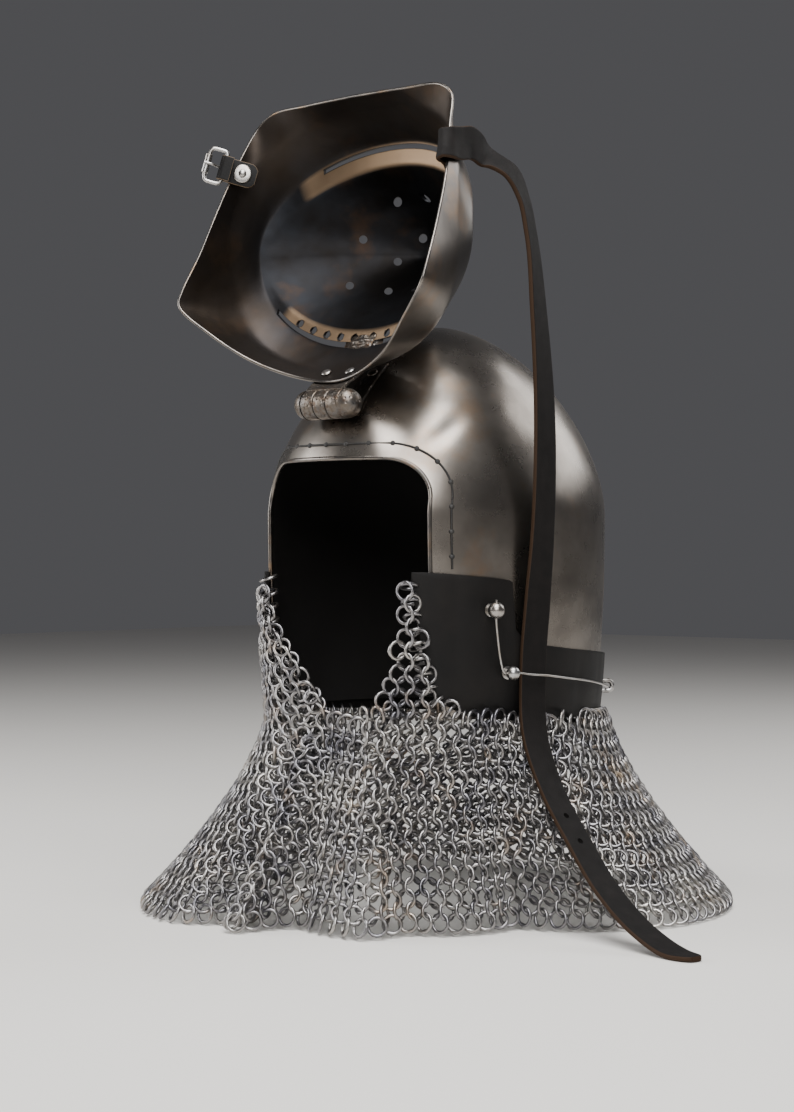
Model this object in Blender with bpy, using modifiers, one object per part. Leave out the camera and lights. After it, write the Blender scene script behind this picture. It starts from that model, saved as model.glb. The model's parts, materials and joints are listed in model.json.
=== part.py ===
"""A steel helmet with a visor raised on a brow hinge and a riveted mail neck guard on a leather band.

Metres, +Z up, the face looks along -Y and the wearer's left is +X. Everything is modelled round the
helmet's own upright axis with the floor at Z = 0, and hangs from one empty that puts the origin
under the middle of the whole object.
"""

import math

import bmesh
import bpy
import numpy as np
from mathutils import Matrix, Vector

MM = 0.001

# Clearances between pieces that touch on the real helmet
SEAT_GAP = 0.3 * MM
RUNNING_GAP = 0.4 * MM

# Skull
SKULL_HALF_WIDTH = 103 * MM
SKULL_HALF_DEPTH = 124 * MM
SKULL_WIDEST_Z = 256 * MM
SKULL_DOME_HEIGHT = 125 * MM
SKULL_EDGE_Z = 128 * MM
SKULL_WALL = 2 * MM
SKULL_TAPER = 0.055
DOME_POWER = 1.72
SKULL_COLUMNS = 36
DOME_ROWS = 11
SKIRT_ROWS = 4

# Face opening
FACE_HALF_WIDTH = 68 * MM
FACE_TOP_Z = 290 * MM
FACE_CORNER = 27 * MM
CORNER_STEPS = 6

# Hinge, whose pin lies along X
HINGE_SET_BACK = 13.2 * MM
HINGE_FORWARD = SKULL_HALF_DEPTH - HINGE_SET_BACK
HINGE_Z = 324 * MM
BARREL_RADIUS = 9.5 * MM
BARREL_SIDES = 16
RIVET_SIDES = 10
KNUCKLE_WIDTH = 10 * MM
KNUCKLE_GAP = 0.5 * MM
PIN_RADIUS = 3 * MM
LEAF_HALF_WIDTH = 15.25 * MM
LEAF_THICKNESS = 2.2 * MM
SKULL_LEAF_LOW_Z = 318 * MM
SKULL_LEAF_HIGH_Z = 350 * MM
HINGE_RIVET_RADIUS = 3.4 * MM
HINGE_RIVET_HEAD = 1.3 * MM
HINGE_RIVET_SIDE = 10 * MM
VISOR_RIVET_SHARE = 0.5

# Visor, as if it were shut, measured forward and down from the hinge pin
VISOR_HALF_WIDTH = 100 * MM
VISOR_DEPTH = 106.5 * MM
VISOR_TOP_DROP = 14.5 * MM
VISOR_HEIGHT = 182.5 * MM
VISOR_WALL = 1.8 * MM
VISOR_RAISED_DEG = 180
VISOR_STEPS = 20
SIGHT_SLIT = 3.5 * MM
SIGHT_INNER_SIDE = 10 * MM
SIGHT_OUTER_SIDE = 74 * MM
MOUTH_SLIT = 3 * MM
SLOT_REACH = 14 * MM
MOUTH_HALF_LENGTH = 52 * MM
LEDGE_HOLE_RADIUS = 2.5 * MM
LEDGE_HOLE_FIRST = 7.3 * MM
LEDGE_HOLE_PITCH = 11.5 * MM
LEDGE_HOLES_A_SIDE = 5
BREATH_HOLE_RADIUS = 2.8 * MM
HOLE_SIDES = 8

# Leather band
BAND_THICKNESS = 2.5 * MM
BAND_GAP = 0.5 * MM
BAND_REAR_STEPS = 15
CHEEK_TOP_Z = 219 * MM
REAR_TOP_Z = 160 * MM
REAR_BOTTOM_Z = 116.5 * MM

# Vervelles and their wire
VERVELLE_STEM_RADIUS = 2.4 * MM
VERVELLE_STEM = 3.2 * MM
STAPLE_WIRE_RADIUS = 1.6 * MM
STAPLE_REACH = 9 * MM
STAPLE_HALF_HEIGHT = 3.4 * MM
LACE_RADIUS = 0.7 * MM

# Mail
MAIL_THICKNESS = 4 * MM
MAIL_GAP = 0.6 * MM
MAIL_OVERLAP = 6 * MM
MAIL_HEM_RADIUS = 198 * MM
MAIL_NECK_FRONT = 110 * MM
MAIL_FLARE_Z = 125 * MM
MAIL_FLARE_POWER = 1.45
MAIL_ROWS = 8
BIB_TOP_Z = 213 * MM
BIB_BOTTOM_Z = 125 * MM

# Strap
STRAP_WIDTH = 20 * MM
STRAP_THICKNESS = 3 * MM
STRAP_HOLE_RADIUS = 2 * MM
STRAP_STATIONS = 56
STRAP_LOOP_DEG = 108

# Buckle and its tab on the visor's edge
TAB_WIDTH = 16 * MM
TAB_THICKNESS = 2.2 * MM
TAB_LENGTH = 21 * MM
BUCKLE_WIRE_RADIUS = 1.3 * MM
BUCKLE_WIDTH = 22 * MM
BUCKLE_LENGTH = 12 * MM
ROLLER_RADIUS = 2.3 * MM
PRONG_RADIUS = 1 * MM
WASHER_RADIUS = 6 * MM
WASHER_THICKNESS = 1.2 * MM
TAB_RIVET_RADIUS = 2.6 * MM


def clear_scene():
    """Empties the scene that Blender starts with."""
    for thing in list(bpy.data.objects):
        bpy.data.objects.remove(thing, do_unlink=True)


def collection_named(name):
    """A new collection in the scene."""
    made = bpy.data.collections.new(name)
    bpy.context.scene.collection.children.link(made)
    return made


clear_scene()
PARTS = collection_named("klappvisor_bascinet")
CUTTERS = collection_named("cutters")
ROOT = bpy.data.objects.new("helmet_axis", None)
PARTS.objects.link(ROOT)


def finish(name, colour, roughness, metallic):
    """A Principled material of one colour."""
    made = bpy.data.materials.new(name)
    made.use_nodes = True
    shader = made.node_tree.nodes["Principled BSDF"]
    shader.inputs["Base Color"].default_value = (*colour, 1)
    shader.inputs["Roughness"].default_value = roughness
    shader.inputs["Metallic"].default_value = metallic
    return made


BRUSHED = finish("brushed_steel", (0.46, 0.44, 0.42), 0.32, 1)
DARK_STEEL = finish("blackened_steel", (0.13, 0.13, 0.14), 0.4, 1)
PITTED = finish("pitted_steel", (0.33, 0.29, 0.25), 0.45, 1)
BRIGHT = finish("nickel_steel", (0.7, 0.7, 0.72), 0.2, 1)
RINGS = finish("mail_rings", (0.3, 0.29, 0.28), 0.4, 1)
HIDE = finish("black_leather", (0.03, 0.026, 0.023), 0.6, 0)
STRAP_HIDE = finish("strap_leather", (0.045, 0.038, 0.033), 0.75, 0)


def smooth_at(knots, values, at):
    """A smooth curve through values at knots, read at other places (cubic, with gentle tangents)."""
    knots = np.asarray(knots, float)
    values = np.asarray(values, float)
    at = np.clip(np.atleast_1d(at), knots[0], knots[-1])
    slopes = np.gradient(values, knots, axis=0)
    low = np.clip(np.searchsorted(knots, at) - 1, 0, len(knots) - 2)
    span = knots[low + 1] - knots[low]
    t = (at - knots[low]) / span
    if values.ndim == 2:
        t = t[:, None]
        span = span[:, None]
    rise = t * t * (3 - 2 * t)
    start = values[low] * (1 - rise) + slopes[low] * span * t * (1 - t) ** 2
    return start + values[low + 1] * rise - slopes[low + 1] * span * t * t * (1 - t)


def add_object(name, mesh, material, parent=None, smooth=True):
    """Puts a mesh in the parts collection under its parent."""
    made = bpy.data.objects.new(name, mesh)
    mesh.materials.clear()
    mesh.materials.append(material)
    if smooth:
        mesh.shade_smooth()
        mesh.set_sharp_from_angle(angle=math.radians(40))
    PARTS.objects.link(made)
    made.parent = parent or ROOT
    return made


def add_cutter(name, mesh, parent=None):
    """Puts a mesh in the cutters collection, out of the render, under its parent."""
    made = bpy.data.objects.new(name, mesh)
    CUTTERS.objects.link(made)
    made.hide_render = True
    made.display_type = "WIRE"
    made.parent = parent or ROOT
    return made


def mesh_of(bm, name):
    """Turns a bmesh with outward faces into a mesh."""
    bmesh.ops.recalc_face_normals(bm, faces=bm.faces)
    mesh = bpy.data.meshes.new(name)
    bm.to_mesh(mesh)
    bm.free()
    return mesh


def loft(name, rows, around=False, ends=False, tip=None):
    """A mesh between rows of points. around closes each row, ends caps the first and last rows, and
    tip closes the last row to one point."""
    bm = bmesh.new()
    rings = [[bm.verts.new(point) for point in row] for row in rows]
    count = len(rows[0])
    for first, second in zip(rings, rings[1:]):
        for i in range(count if around else count - 1):
            j = (i + 1) % count
            bm.faces.new((first[i], first[j], second[j], second[i]))
    if ends:
        bm.faces.new(rings[0])
        bm.faces.new(rings[-1])
    if tip is not None:
        top = bm.verts.new(tip)
        for i in range(count):
            bm.faces.new((rings[-1][i], rings[-1][(i + 1) % count], top))
    return mesh_of(bm, name)


def give_wall(obj, thickness, offset):
    """A Solidify wall. offset -1 grows it inwards, 1 outwards and 0 both ways."""
    wall = obj.modifiers.new("wall", "SOLIDIFY")
    wall.thickness = thickness
    wall.offset = offset
    wall.use_even_offset = True
    wall.use_quality_normals = True


def cut(obj, cutter, name="cut"):
    """Subtracts a cutter."""
    op = obj.modifiers.new(name, "BOOLEAN")
    op.object = cutter
    op.operation = "DIFFERENCE"


def join(obj, other, name="join"):
    """Adds a helper solid."""
    op = obj.modifiers.new(name, "BOOLEAN")
    op.object = other
    op.operation = "UNION"


def drum(name, radius, length, centre, direction, sides=16):
    """A cylinder along a direction, round its centre."""
    bm = bmesh.new()
    turn = Vector((0, 0, 1)).rotation_difference(Vector(direction).normalized())
    place = Matrix.Translation(centre) @ turn.to_matrix().to_4x4()
    bmesh.ops.create_cone(
        bm, cap_ends=True, segments=sides, radius1=radius, radius2=radius, depth=length, matrix=place
    )
    return mesh_of(bm, name)


def block(name, size, centre):
    """A box round its centre."""
    bm = bmesh.new()
    place = Matrix.Translation(centre) @ Matrix.Diagonal((*size, 1))
    bmesh.ops.create_cube(bm, size=1, matrix=place)
    return mesh_of(bm, name)


def turned(name, profile, centre, direction, sides=14):
    """A solid of revolution: profile rows are (radius, height) from a bottom centre to a top centre."""
    turn = Vector((0, 0, 1)).rotation_difference(Vector(direction).normalized()).to_matrix()
    angles = np.linspace(0, 2 * math.pi, sides, endpoint=False)
    bm = bmesh.new()
    rings = []
    for radius, height in profile:
        if radius == 0:
            rings.append([bm.verts.new(Vector(centre) + turn @ Vector((0, 0, height)))])
            continue
        ring = []
        for angle in angles:
            spot = Vector((radius * math.cos(angle), radius * math.sin(angle), height))
            ring.append(bm.verts.new(Vector(centre) + turn @ spot))
        rings.append(ring)
    for first, second in zip(rings, rings[1:]):
        for i in range(sides):
            j = (i + 1) % sides
            corners = [first[i % len(first)], first[j % len(first)]]
            corners += [second[j % len(second)], second[i % len(second)]]
            unique = list(dict.fromkeys(corners))
            bm.faces.new(unique)
    return mesh_of(bm, name)


def dome_profile(radius, height, base=0.0, steps=4):
    """The profile of a low round rivet head that stands on a flat base."""
    rows = [(0, base)]
    for i in range(steps):
        angle = 0.5 * math.pi * i / steps
        rows.append((radius * math.cos(angle), base + height * (0.15 + 0.85 * math.sin(angle))))
    rows[1:1] = [(radius, base)]
    rows.append((0, base + height))
    return rows


def ball_profile(radius, stem_radius, stem_length, steps=7):
    """The profile of a ball on a stem that stands up from a seat."""
    rows = [(0, 0), (stem_radius, 0), (stem_radius, stem_length)]
    low = math.asin(-math.sqrt(1 - (stem_radius / radius) ** 2))
    centre = stem_length - radius * math.sin(low)
    for i in range(1, steps):
        angle = low + (0.5 * math.pi - low) * i / steps
        rows.append((radius * math.cos(angle), centre + radius * math.sin(angle)))
    rows.append((0, centre + radius))
    return rows


def tube(name, points, radius, material, sides_resolution=2, cyclic=False):
    """A round wire along points, as a mesh with welded caps."""
    curve = bpy.data.curves.new(name + "_path", "CURVE")
    curve.dimensions = "3D"
    curve.bevel_depth = radius
    curve.bevel_resolution = sides_resolution
    curve.use_fill_caps = True
    spline = curve.splines.new("POLY")
    spline.points.add(len(points) - 1)
    for spot, point in zip(spline.points, points):
        spot.co = (*point, 1)
    spline.use_cyclic_u = cyclic
    guide = bpy.data.objects.new(name + "_guide", curve)
    CUTTERS.objects.link(guide)
    graph = bpy.context.evaluated_depsgraph_get()
    mesh = bpy.data.meshes.new_from_object(guide.evaluated_get(graph))
    bpy.data.objects.remove(guide, do_unlink=True)
    bm = bmesh.new()
    bm.from_mesh(mesh)
    bmesh.ops.remove_doubles(bm, verts=bm.verts, dist=0.01 * MM)
    return add_object(name, mesh_of(bm, name), material)


def ribbon(name, centres, acrosses, width, thickness, material):
    """A flat strip: a rectangle width by thickness carried along its centre line."""
    centres = np.asarray(centres)
    acrosses = acrosses / np.linalg.norm(acrosses, axis=1, keepdims=True)
    along = np.gradient(centres, axis=0)
    along /= np.linalg.norm(along, axis=1, keepdims=True)
    acrosses = acrosses - along * (acrosses * along).sum(1, keepdims=True)
    acrosses /= np.linalg.norm(acrosses, axis=1, keepdims=True)
    up = np.cross(along, acrosses)
    widths = np.broadcast_to(width, len(centres))[:, None]
    side = acrosses * widths / 2
    lift = up * thickness / 2
    corners = (-side - lift, side - lift, side + lift, lift - side)
    rows = np.stack([centres + corner for corner in corners], 1)
    return add_object(name, loft(name, rows, around=True, ends=True), material, smooth=False)


def skull_scale(z):
    """Share of the skull's widest half sizes at a height: a superellipse dome over a slight taper."""
    up = np.clip((z - SKULL_WIDEST_Z) / SKULL_DOME_HEIGHT, 0, 1)
    down = np.clip((SKULL_WIDEST_Z - z) / (SKULL_WIDEST_Z - SKULL_EDGE_Z), 0, None)
    return (1 - up**DOME_POWER) ** (1 / DOME_POWER) - SKULL_TAPER * down**2


def skull_point(angle, z, out=0.0):
    """A point out from the skull's outer face, at an angle from the front towards the wearer's left."""
    scale = skull_scale(z)
    x = (SKULL_HALF_WIDTH * scale + out) * np.sin(angle)
    y = -(SKULL_HALF_DEPTH * scale + out) * np.cos(angle)
    return np.stack(np.broadcast_arrays(x, y, z), -1)


def skull_off(angle, z, out):
    """A point at a true distance out from the skull's outer face, along the face's own normal."""
    here = skull_point(angle, z)
    turn = skull_point(angle + 0.002, z) - skull_point(angle - 0.002, z)
    rise = skull_point(angle, z + 0.1 * MM) - skull_point(angle, z - 0.1 * MM)
    normal = np.cross(turn, rise)
    return here + out * normal / np.linalg.norm(normal, axis=-1, keepdims=True)


def skull_outward(angle, z):
    """The level direction that points straight out of the skull at an angle."""
    scale = skull_scale(z)
    x = np.sin(angle) / (SKULL_HALF_WIDTH * scale)
    y = -np.cos(angle) / (SKULL_HALF_DEPTH * scale)
    return Vector((float(x), float(y), 0)).normalized()


def face_outline():
    """The face opening's outline from the front: upright sides, an almost flat top, round corners."""
    low = SKULL_EDGE_Z - FACE_CORNER
    arc = np.linspace(0, 0.5 * math.pi, CORNER_STEPS)
    right = [(FACE_HALF_WIDTH, low)]
    for angle in arc:
        x = FACE_HALF_WIDTH - FACE_CORNER * (1 - math.cos(angle))
        z = FACE_TOP_Z - FACE_CORNER * (1 - math.sin(angle))
        right.append((x, z))
    return right + [(-x, z) for x, z in reversed(right)]


def make_skull():
    """The skull: a dome lofted through level rings, walled inwards, with the face cut out."""
    angles = np.linspace(0, 2 * math.pi, SKULL_COLUMNS, endpoint=False)
    skirt = np.linspace(SKULL_EDGE_Z, SKULL_WIDEST_Z, SKIRT_ROWS, endpoint=False)
    rise = np.linspace(0, 0.5 * math.pi, DOME_ROWS, endpoint=False)
    dome = SKULL_WIDEST_Z + SKULL_DOME_HEIGHT * np.sin(rise) ** (2 / DOME_POWER)
    rows = [skull_point(angles, z) for z in np.concatenate([skirt, dome])]
    apex = (0, 0, SKULL_WIDEST_Z + SKULL_DOME_HEIGHT)
    skull = add_object("skull", loft("skull", rows, around=True, tip=apex), BRUSHED)
    give_wall(skull, SKULL_WALL, -1)
    front = -SKULL_HALF_DEPTH - FACE_CORNER
    back = -SKULL_HALF_DEPTH / 3
    outline = face_outline()
    rows = [[(x, y, z) for x, z in outline] for y in (front, back)]
    cut(skull, add_cutter("face_opening", loft("face_opening", rows, around=True, ends=True)))
    return skull


# The visor's edge, from the brow's middle round to the chin's middle. Columns: turn in degrees, side
# as a share of the half width, forward as a share of the depth, down as a share of the height.
VISOR_RIM = (
    (0, 0.0, 0.033, 0.0),
    (26, 0.5, -0.08, 0.068),
    (47, 0.81, -0.216, 0.18),
    (62, 1.01, -0.29, 0.28),
    (72, 1.02, -0.26, 0.335),
    (86, 0.99, -0.14, 0.47),
    (100, 0.955, -0.014, 0.638),
    (118, 0.88, 0.113, 0.825),
    (132, 0.81, 0.21, 0.945),
    (142, 0.71, 0.23, 0.985),
    (160, 0.4, 0.23, 0.996),
    (180, 0.0, 0.23, 1.0),
)
# The visor's inner rings, from the edge to the snout. Columns: side, then forward at the side, forward
# and down at the top, forward and down at the bottom, all as the shares above, and squareness.
VISOR_RINGS = (
    (0.955, 0.09, 0.165, 0.055, 0.36, 0.965, 2.6),
    (0.9, 0.29, 0.30, 0.123, 0.585, 0.872, 2.1),
    (0.86, 0.33, 0.345, 0.189, 0.575, 0.786, 2.0),
    (0.71, 0.47, 0.47, 0.25, 0.68, 0.74, 2.0),
    (0.49, 0.66, 0.66, 0.33, 0.81, 0.675, 2.0),
    (0.27, 0.84, 0.84, 0.41, 0.92, 0.595, 2.0),
    (0.1, 0.96, 0.96, 0.47, 0.98, 0.53, 2.0),
)
SIGHT_RING = 1
LEDGE_RING = 2
VISOR_SNOUT_DOWN = 0.502


def from_hinge(side, forward, down):
    """A place measured from the hinge pin with the visor shut, in the visor's own frame."""
    return np.stack(np.broadcast_arrays(side, -forward, -down), -1)


def visor_ring(row, turn):
    """Points on one of the visor's inner rings at turns from the brow."""
    side, f_side, f_top, d_top, f_low, d_low, power = row
    sine = np.sin(turn)
    cosine = np.cos(turn)
    x = VISOR_HALF_WIDTH * side * np.sign(sine) * np.abs(sine) ** (2 / power)
    middle = (d_top + d_low) / 2
    reach = (d_low - d_top) / 2
    down = middle - reach * np.sign(cosine) * np.abs(cosine) ** (2 / power)
    forward = f_side + (f_top - f_side) * np.clip(cosine, 0, 1) ** 1.6
    forward = forward + (f_low - f_side) * np.clip(-cosine, 0, 1) ** 1.6
    return from_hinge(x, VISOR_DEPTH * forward, VISOR_TOP_DROP + VISOR_HEIGHT * down)


def visor_edge(turn):
    """Points on the visor's edge at turns from the brow."""
    table = np.array(VISOR_RIM)
    mirrored = table[:0:-1] * (-1, -1, 1, 1)
    whole = np.concatenate([mirrored, table])
    side, forward, down = smooth_at(whole[:, 0], whole[:, 1:], np.degrees(turn)).T
    return from_hinge(VISOR_HALF_WIDTH * side, VISOR_DEPTH * forward, VISOR_TOP_DROP + VISOR_HEIGHT * down)


def slot_cutter(name, low, high, centre_ring, span, height):
    """A thin curved cutter that follows a stretch of the visor between two of its rings."""
    turns = np.linspace(low, high, span)
    middle = visor_ring(VISOR_RINGS[centre_ring], turns) + visor_ring(VISOR_RINGS[centre_ring + 1], turns)
    middle = middle / 2
    middle = (middle + visor_ring(VISOR_RINGS[centre_ring], turns)) / 2
    up = np.array((0, 0, height / 2))
    out = np.array((0, SLOT_REACH, 0))
    rows = np.stack([middle - out - up, middle + out - up, middle + out + up, middle - out + up], 1)
    return add_cutter(name, loft(name, rows, around=True, ends=True))


def turn_for_side(ring, side):
    """The turn at which a visor ring reaches a distance from the middle, in its upper half."""
    share, *_, power = VISOR_RINGS[ring]
    return math.asin((side / (VISOR_HALF_WIDTH * share)) ** (power / 2))


# Breath holes on one flank. Columns: side as a share of the half width, forward as a share of the
# depth, down as a share of the height.
BREATH_HOLES = (
    (0.26, 0.93, 0.68),
    (0.48, 0.84, 0.556),
    (0.13, 1.03, 0.556),
    (0.26, 0.93, 0.474),
    (0.51, 0.745, 0.381),
    (0.26, 0.84, 0.353),
)
BREATH_SLANT_DEG = 40


def make_visor(pivot):
    """The visor: a loft from its edge through its rings to the snout, walled, then slit and drilled."""
    even = np.linspace(-180, 180, 2 * VISOR_STEPS, endpoint=False)
    brow = np.array((-13.5, -6, -3, 3, 6, 13.5))
    turns = np.radians(np.unique(np.concatenate([even, brow])))
    rows = [visor_edge(turns)] + [visor_ring(row, turns) for row in VISOR_RINGS]
    snout = from_hinge(0.0, VISOR_DEPTH, VISOR_TOP_DROP + VISOR_SNOUT_DOWN * VISOR_HEIGHT)
    visor = add_object("visor", loft("visor", rows, around=True, tip=snout), DARK_STEEL, pivot)
    give_wall(visor, VISOR_WALL, 0)
    cutters = []
    inner = turn_for_side(SIGHT_RING, SIGHT_INNER_SIDE)
    outer = turn_for_side(SIGHT_RING, SIGHT_OUTER_SIDE)
    cutters.append(slot_cutter("sight_left", inner, outer, SIGHT_RING, 7, SIGHT_SLIT))
    cutters.append(slot_cutter("sight_right", -outer, -inner, SIGHT_RING, 7, SIGHT_SLIT))
    mouth = turn_for_side(SIGHT_RING, MOUTH_HALF_LENGTH)
    cutters.append(slot_cutter("mouth", math.pi - mouth, math.pi + mouth, SIGHT_RING, 7, MOUTH_SLIT))
    for side in (1, -1):
        for i in range(LEDGE_HOLES_A_SIDE):
            reach = LEDGE_HOLE_FIRST + i * LEDGE_HOLE_PITCH
            turn = turn_for_side(LEDGE_RING, reach) * side
            ledge = visor_ring(VISOR_RINGS[LEDGE_RING], np.array([turn]))[0]
            lip = visor_ring(VISOR_RINGS[SIGHT_RING], np.array([turn]))[0]
            spot = Vector(ledge + (lip - ledge) * 0.36)
            mesh = drum("ledge_hole", LEDGE_HOLE_RADIUS, SLOT_REACH, spot, (0, 1, 0), HOLE_SIDES)
            cutters.append(add_cutter(f"ledge_hole_{side}_{i}", mesh))
        slant = math.radians(BREATH_SLANT_DEG)
        aim = (side * math.sin(slant), -math.cos(slant), 0)
        for i, (across, forward, down) in enumerate(BREATH_HOLES):
            x = side * across * VISOR_HALF_WIDTH
            spot = Vector(from_hinge(x, forward * VISOR_DEPTH, VISOR_TOP_DROP + down * VISOR_HEIGHT))
            mesh = drum("breath_hole", BREATH_HOLE_RADIUS, VISOR_DEPTH / 2, spot, aim, HOLE_SIDES)
            cutters.append(add_cutter(f"breath_hole_{side}_{i}", mesh))
    for cutter in cutters:
        cutter.parent = pivot
        cut(visor, cutter, cutter.name)
    return visor


def visor_plate(sides, share):
    """Points and outward directions on the visor's brow plate, at distances from the middle and at a
    share of the way from its edge to its first ring."""
    turns = np.linspace(-0.5, 0.5, 101)
    line = visor_edge(turns) * (1 - share) + visor_ring(VISOR_RINGS[0], turns) * share
    spots = np.stack([np.interp(sides, line[:, 0], line[:, axis]) for axis in range(3)], -1)
    step = visor_ring(VISOR_RINGS[0], turns) - visor_edge(turns)
    inward = np.stack([np.interp(sides, line[:, 0], step[:, axis]) for axis in range(3)], -1)
    slope = np.gradient(line, axis=0)
    level = np.stack([np.interp(sides, line[:, 0], slope[:, axis]) for axis in range(3)], -1)
    outward = np.cross(inward, level)
    outward /= np.linalg.norm(outward, axis=-1, keepdims=True)
    return spots, outward * np.sign(outward[..., 2:])


def hinge_drum(name, radius, low, high, parent, sides=BARREL_SIDES):
    """A helper cylinder on the hinge's axis between two places along X."""
    mesh = drum(name, radius, high - low, ((low + high) / 2, 0, 0), (1, 0, 0), sides)
    return add_cutter(name, mesh, parent)


def make_brow_leaf(seat):
    """The hinge's leaf on the brow: a plate that follows the dome, a web and one bored knuckle."""
    half = KNUCKLE_WIDTH / 2
    bore = PIN_RADIUS + RUNNING_GAP
    to_seat = np.array((0, HINGE_FORWARD, -HINGE_Z))
    sides = np.linspace(-LEAF_HALF_WIDTH, LEAF_HALF_WIDTH, 5)
    rows = []
    for z in np.linspace(SKULL_LEAF_LOW_Z, SKULL_LEAF_HIGH_Z, 5):
        angle = np.arcsin(sides / (SKULL_HALF_WIDTH * skull_scale(z)))
        rows.append(skull_off(angle, z, SEAT_GAP + LEAF_THICKNESS / 2) + to_seat)
    leaf = add_object("hinge_brow_leaf", loft("hinge_brow_leaf", rows), PITTED, seat)
    give_wall(leaf, LEAF_THICKNESS, 0)
    back = HINGE_FORWARD + float(skull_off(0.0, HINGE_Z, SEAT_GAP + LEAF_THICKNESS / 2)[1])
    web = block("brow_web", (1.8 * half, back, 0.6 * BARREL_RADIUS), (0, back / 2, 0.4 * BARREL_RADIUS))
    join(leaf, hinge_drum("brow_knuckle", BARREL_RADIUS, -half, half, seat), "knuckle")
    join(leaf, add_cutter("brow_web", web, seat), "web")
    cut(leaf, hinge_drum("brow_bore", bore, -2 * half, 2 * half, seat, 12), "bore")
    return leaf


def make_visor_leaf(pivot):
    """The hinge's leaf on the visor's brow plate, with a bored knuckle each side of the brow's."""
    half = KNUCKLE_WIDTH / 2
    inner = half + KNUCKLE_GAP
    outer = inner + KNUCKLE_WIDTH
    bore = PIN_RADIUS + RUNNING_GAP
    lift = VISOR_WALL / 2 + 2 * SEAT_GAP + LEAF_THICKNESS / 2
    sides = np.linspace(-LEAF_HALF_WIDTH, LEAF_HALF_WIDTH, 5)
    rows = []
    for share in (-0.5, 0.0, 0.45, 0.9):
        spots, outward = visor_plate(sides, share)
        rows.append((spots + outward * lift) * (0, 1, 1) + sides[:, None] * (1, 0, 0))
    rows[0] = rows[0] * (1, 0, 0) + rows[0].mean(0) * (0, 1, 1)
    leaf = add_object("hinge_visor_leaf", loft("hinge_visor_leaf", rows), PITTED, pivot)
    give_wall(leaf, LEAF_THICKNESS, 0)
    for hand, low, high in (("left", inner, outer), ("right", -outer, -inner)):
        join(leaf, hinge_drum(f"visor_knuckle_{hand}", BARREL_RADIUS, low, high, pivot), f"knuckle_{hand}")
    cut(leaf, hinge_drum("leaf_bore", bore, -outer - MM, outer + MM, pivot, 12), "bore")
    room = hinge_drum("brow_room", BARREL_RADIUS + RUNNING_GAP, -inner, inner, pivot)
    cut(leaf, room, "room")
    return leaf


def make_hinge(pivot, seat):
    """The hinge: both leaves, the pin with its domed heads, and the rivets that hold the leaves."""
    make_brow_leaf(seat)
    make_visor_leaf(pivot)

    end = 1.5 * KNUCKLE_WIDTH + KNUCKLE_GAP + SEAT_GAP
    steps = np.linspace(0, 0.5 * math.pi, 5)
    dome = [(BARREL_RADIUS * math.cos(a), end + BARREL_RADIUS * math.sin(a)) for a in steps[:-1]]
    right = [(PIN_RADIUS, end), *dome, (0, end + BARREL_RADIUS)]
    left = [(radius, -height) for radius, height in reversed(right)]
    pin = turned("hinge_pin", left + right, (0, 0, 0), (1, 0, 0), BARREL_SIDES)
    add_object("hinge_pin", pin, PITTED, seat)

    profile = dome_profile(HINGE_RIVET_RADIUS, HINGE_RIVET_HEAD)
    to_seat = Vector((0, HINGE_FORWARD, -HINGE_Z))
    for side, hand in ((1, "left"), (-1, "right")):
        spots, outward = visor_plate(np.array([side * HINGE_RIVET_SIDE]), VISOR_RIVET_SHARE)
        normal = -Vector(outward[0])
        place = Vector(spots[0]) + normal * (VISOR_WALL / 2 + 2 * SEAT_GAP)
        mesh = turned(f"visor_rivet_{hand}", profile, place, normal, RIVET_SIDES)
        add_object(f"visor_rivet_{hand}", mesh, BRIGHT, pivot)
        z = SKULL_LEAF_HIGH_Z - 2 * HINGE_RIVET_RADIUS
        angle = math.asin(side * HINGE_RIVET_SIDE / (SKULL_HALF_WIDTH * skull_scale(z)))
        stand = 2 * SEAT_GAP + LEAF_THICKNESS
        place = Vector(skull_off(angle, z, stand)) + to_seat
        normal = Vector(skull_off(angle, z, stand + MM)) + to_seat - place
        mesh = turned(f"brow_rivet_{hand}", profile, place, normal, RIVET_SIDES)
        add_object(f"brow_rivet_{hand}", mesh, PITTED, seat)


# The leather band's upper and lower edges. Columns: angle from the front in degrees, then the upper
# edge's way down from the cheek's top to the rear's top, and the lower edge's way down from the cheek's
# top to the rear's low edge, both as shares.
BAND_EDGES = (
    (35.5, 0.0, 0.06),
    (38, 0.0, 0.37),
    (40, 0.0, 0.6),
    (42.5, 0.01, 0.72),
    (45.5, 0.015, 0.79),
    (52, 0.035, 0.86),
    (61, 0.06, 0.88),
    (66, 0.08, 0.895),
    (67.5, 0.1, 0.9),
    (69, 0.6, 0.9),
    (72, 0.72, 0.905),
    (80, 0.78, 0.92),
    (95, 0.84, 0.94),
    (140, 0.96, 0.985),
    (180, 1.0, 1.0),
)
BAND_MIDDLE = BAND_GAP + BAND_THICKNESS / 2


def band_edge(angle, column):
    """The band's upper (column 1) or lower (column 2) edge height at angles from the front."""
    table = np.array(BAND_EDGES)
    away = np.degrees(np.abs(angle))
    share = np.interp(away, table[:, 0], table[:, column])
    stop = (REAR_TOP_Z, REAR_BOTTOM_Z)[column - 1]
    return CHEEK_TOP_Z + (stop - CHEEK_TOP_Z) * share


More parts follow.
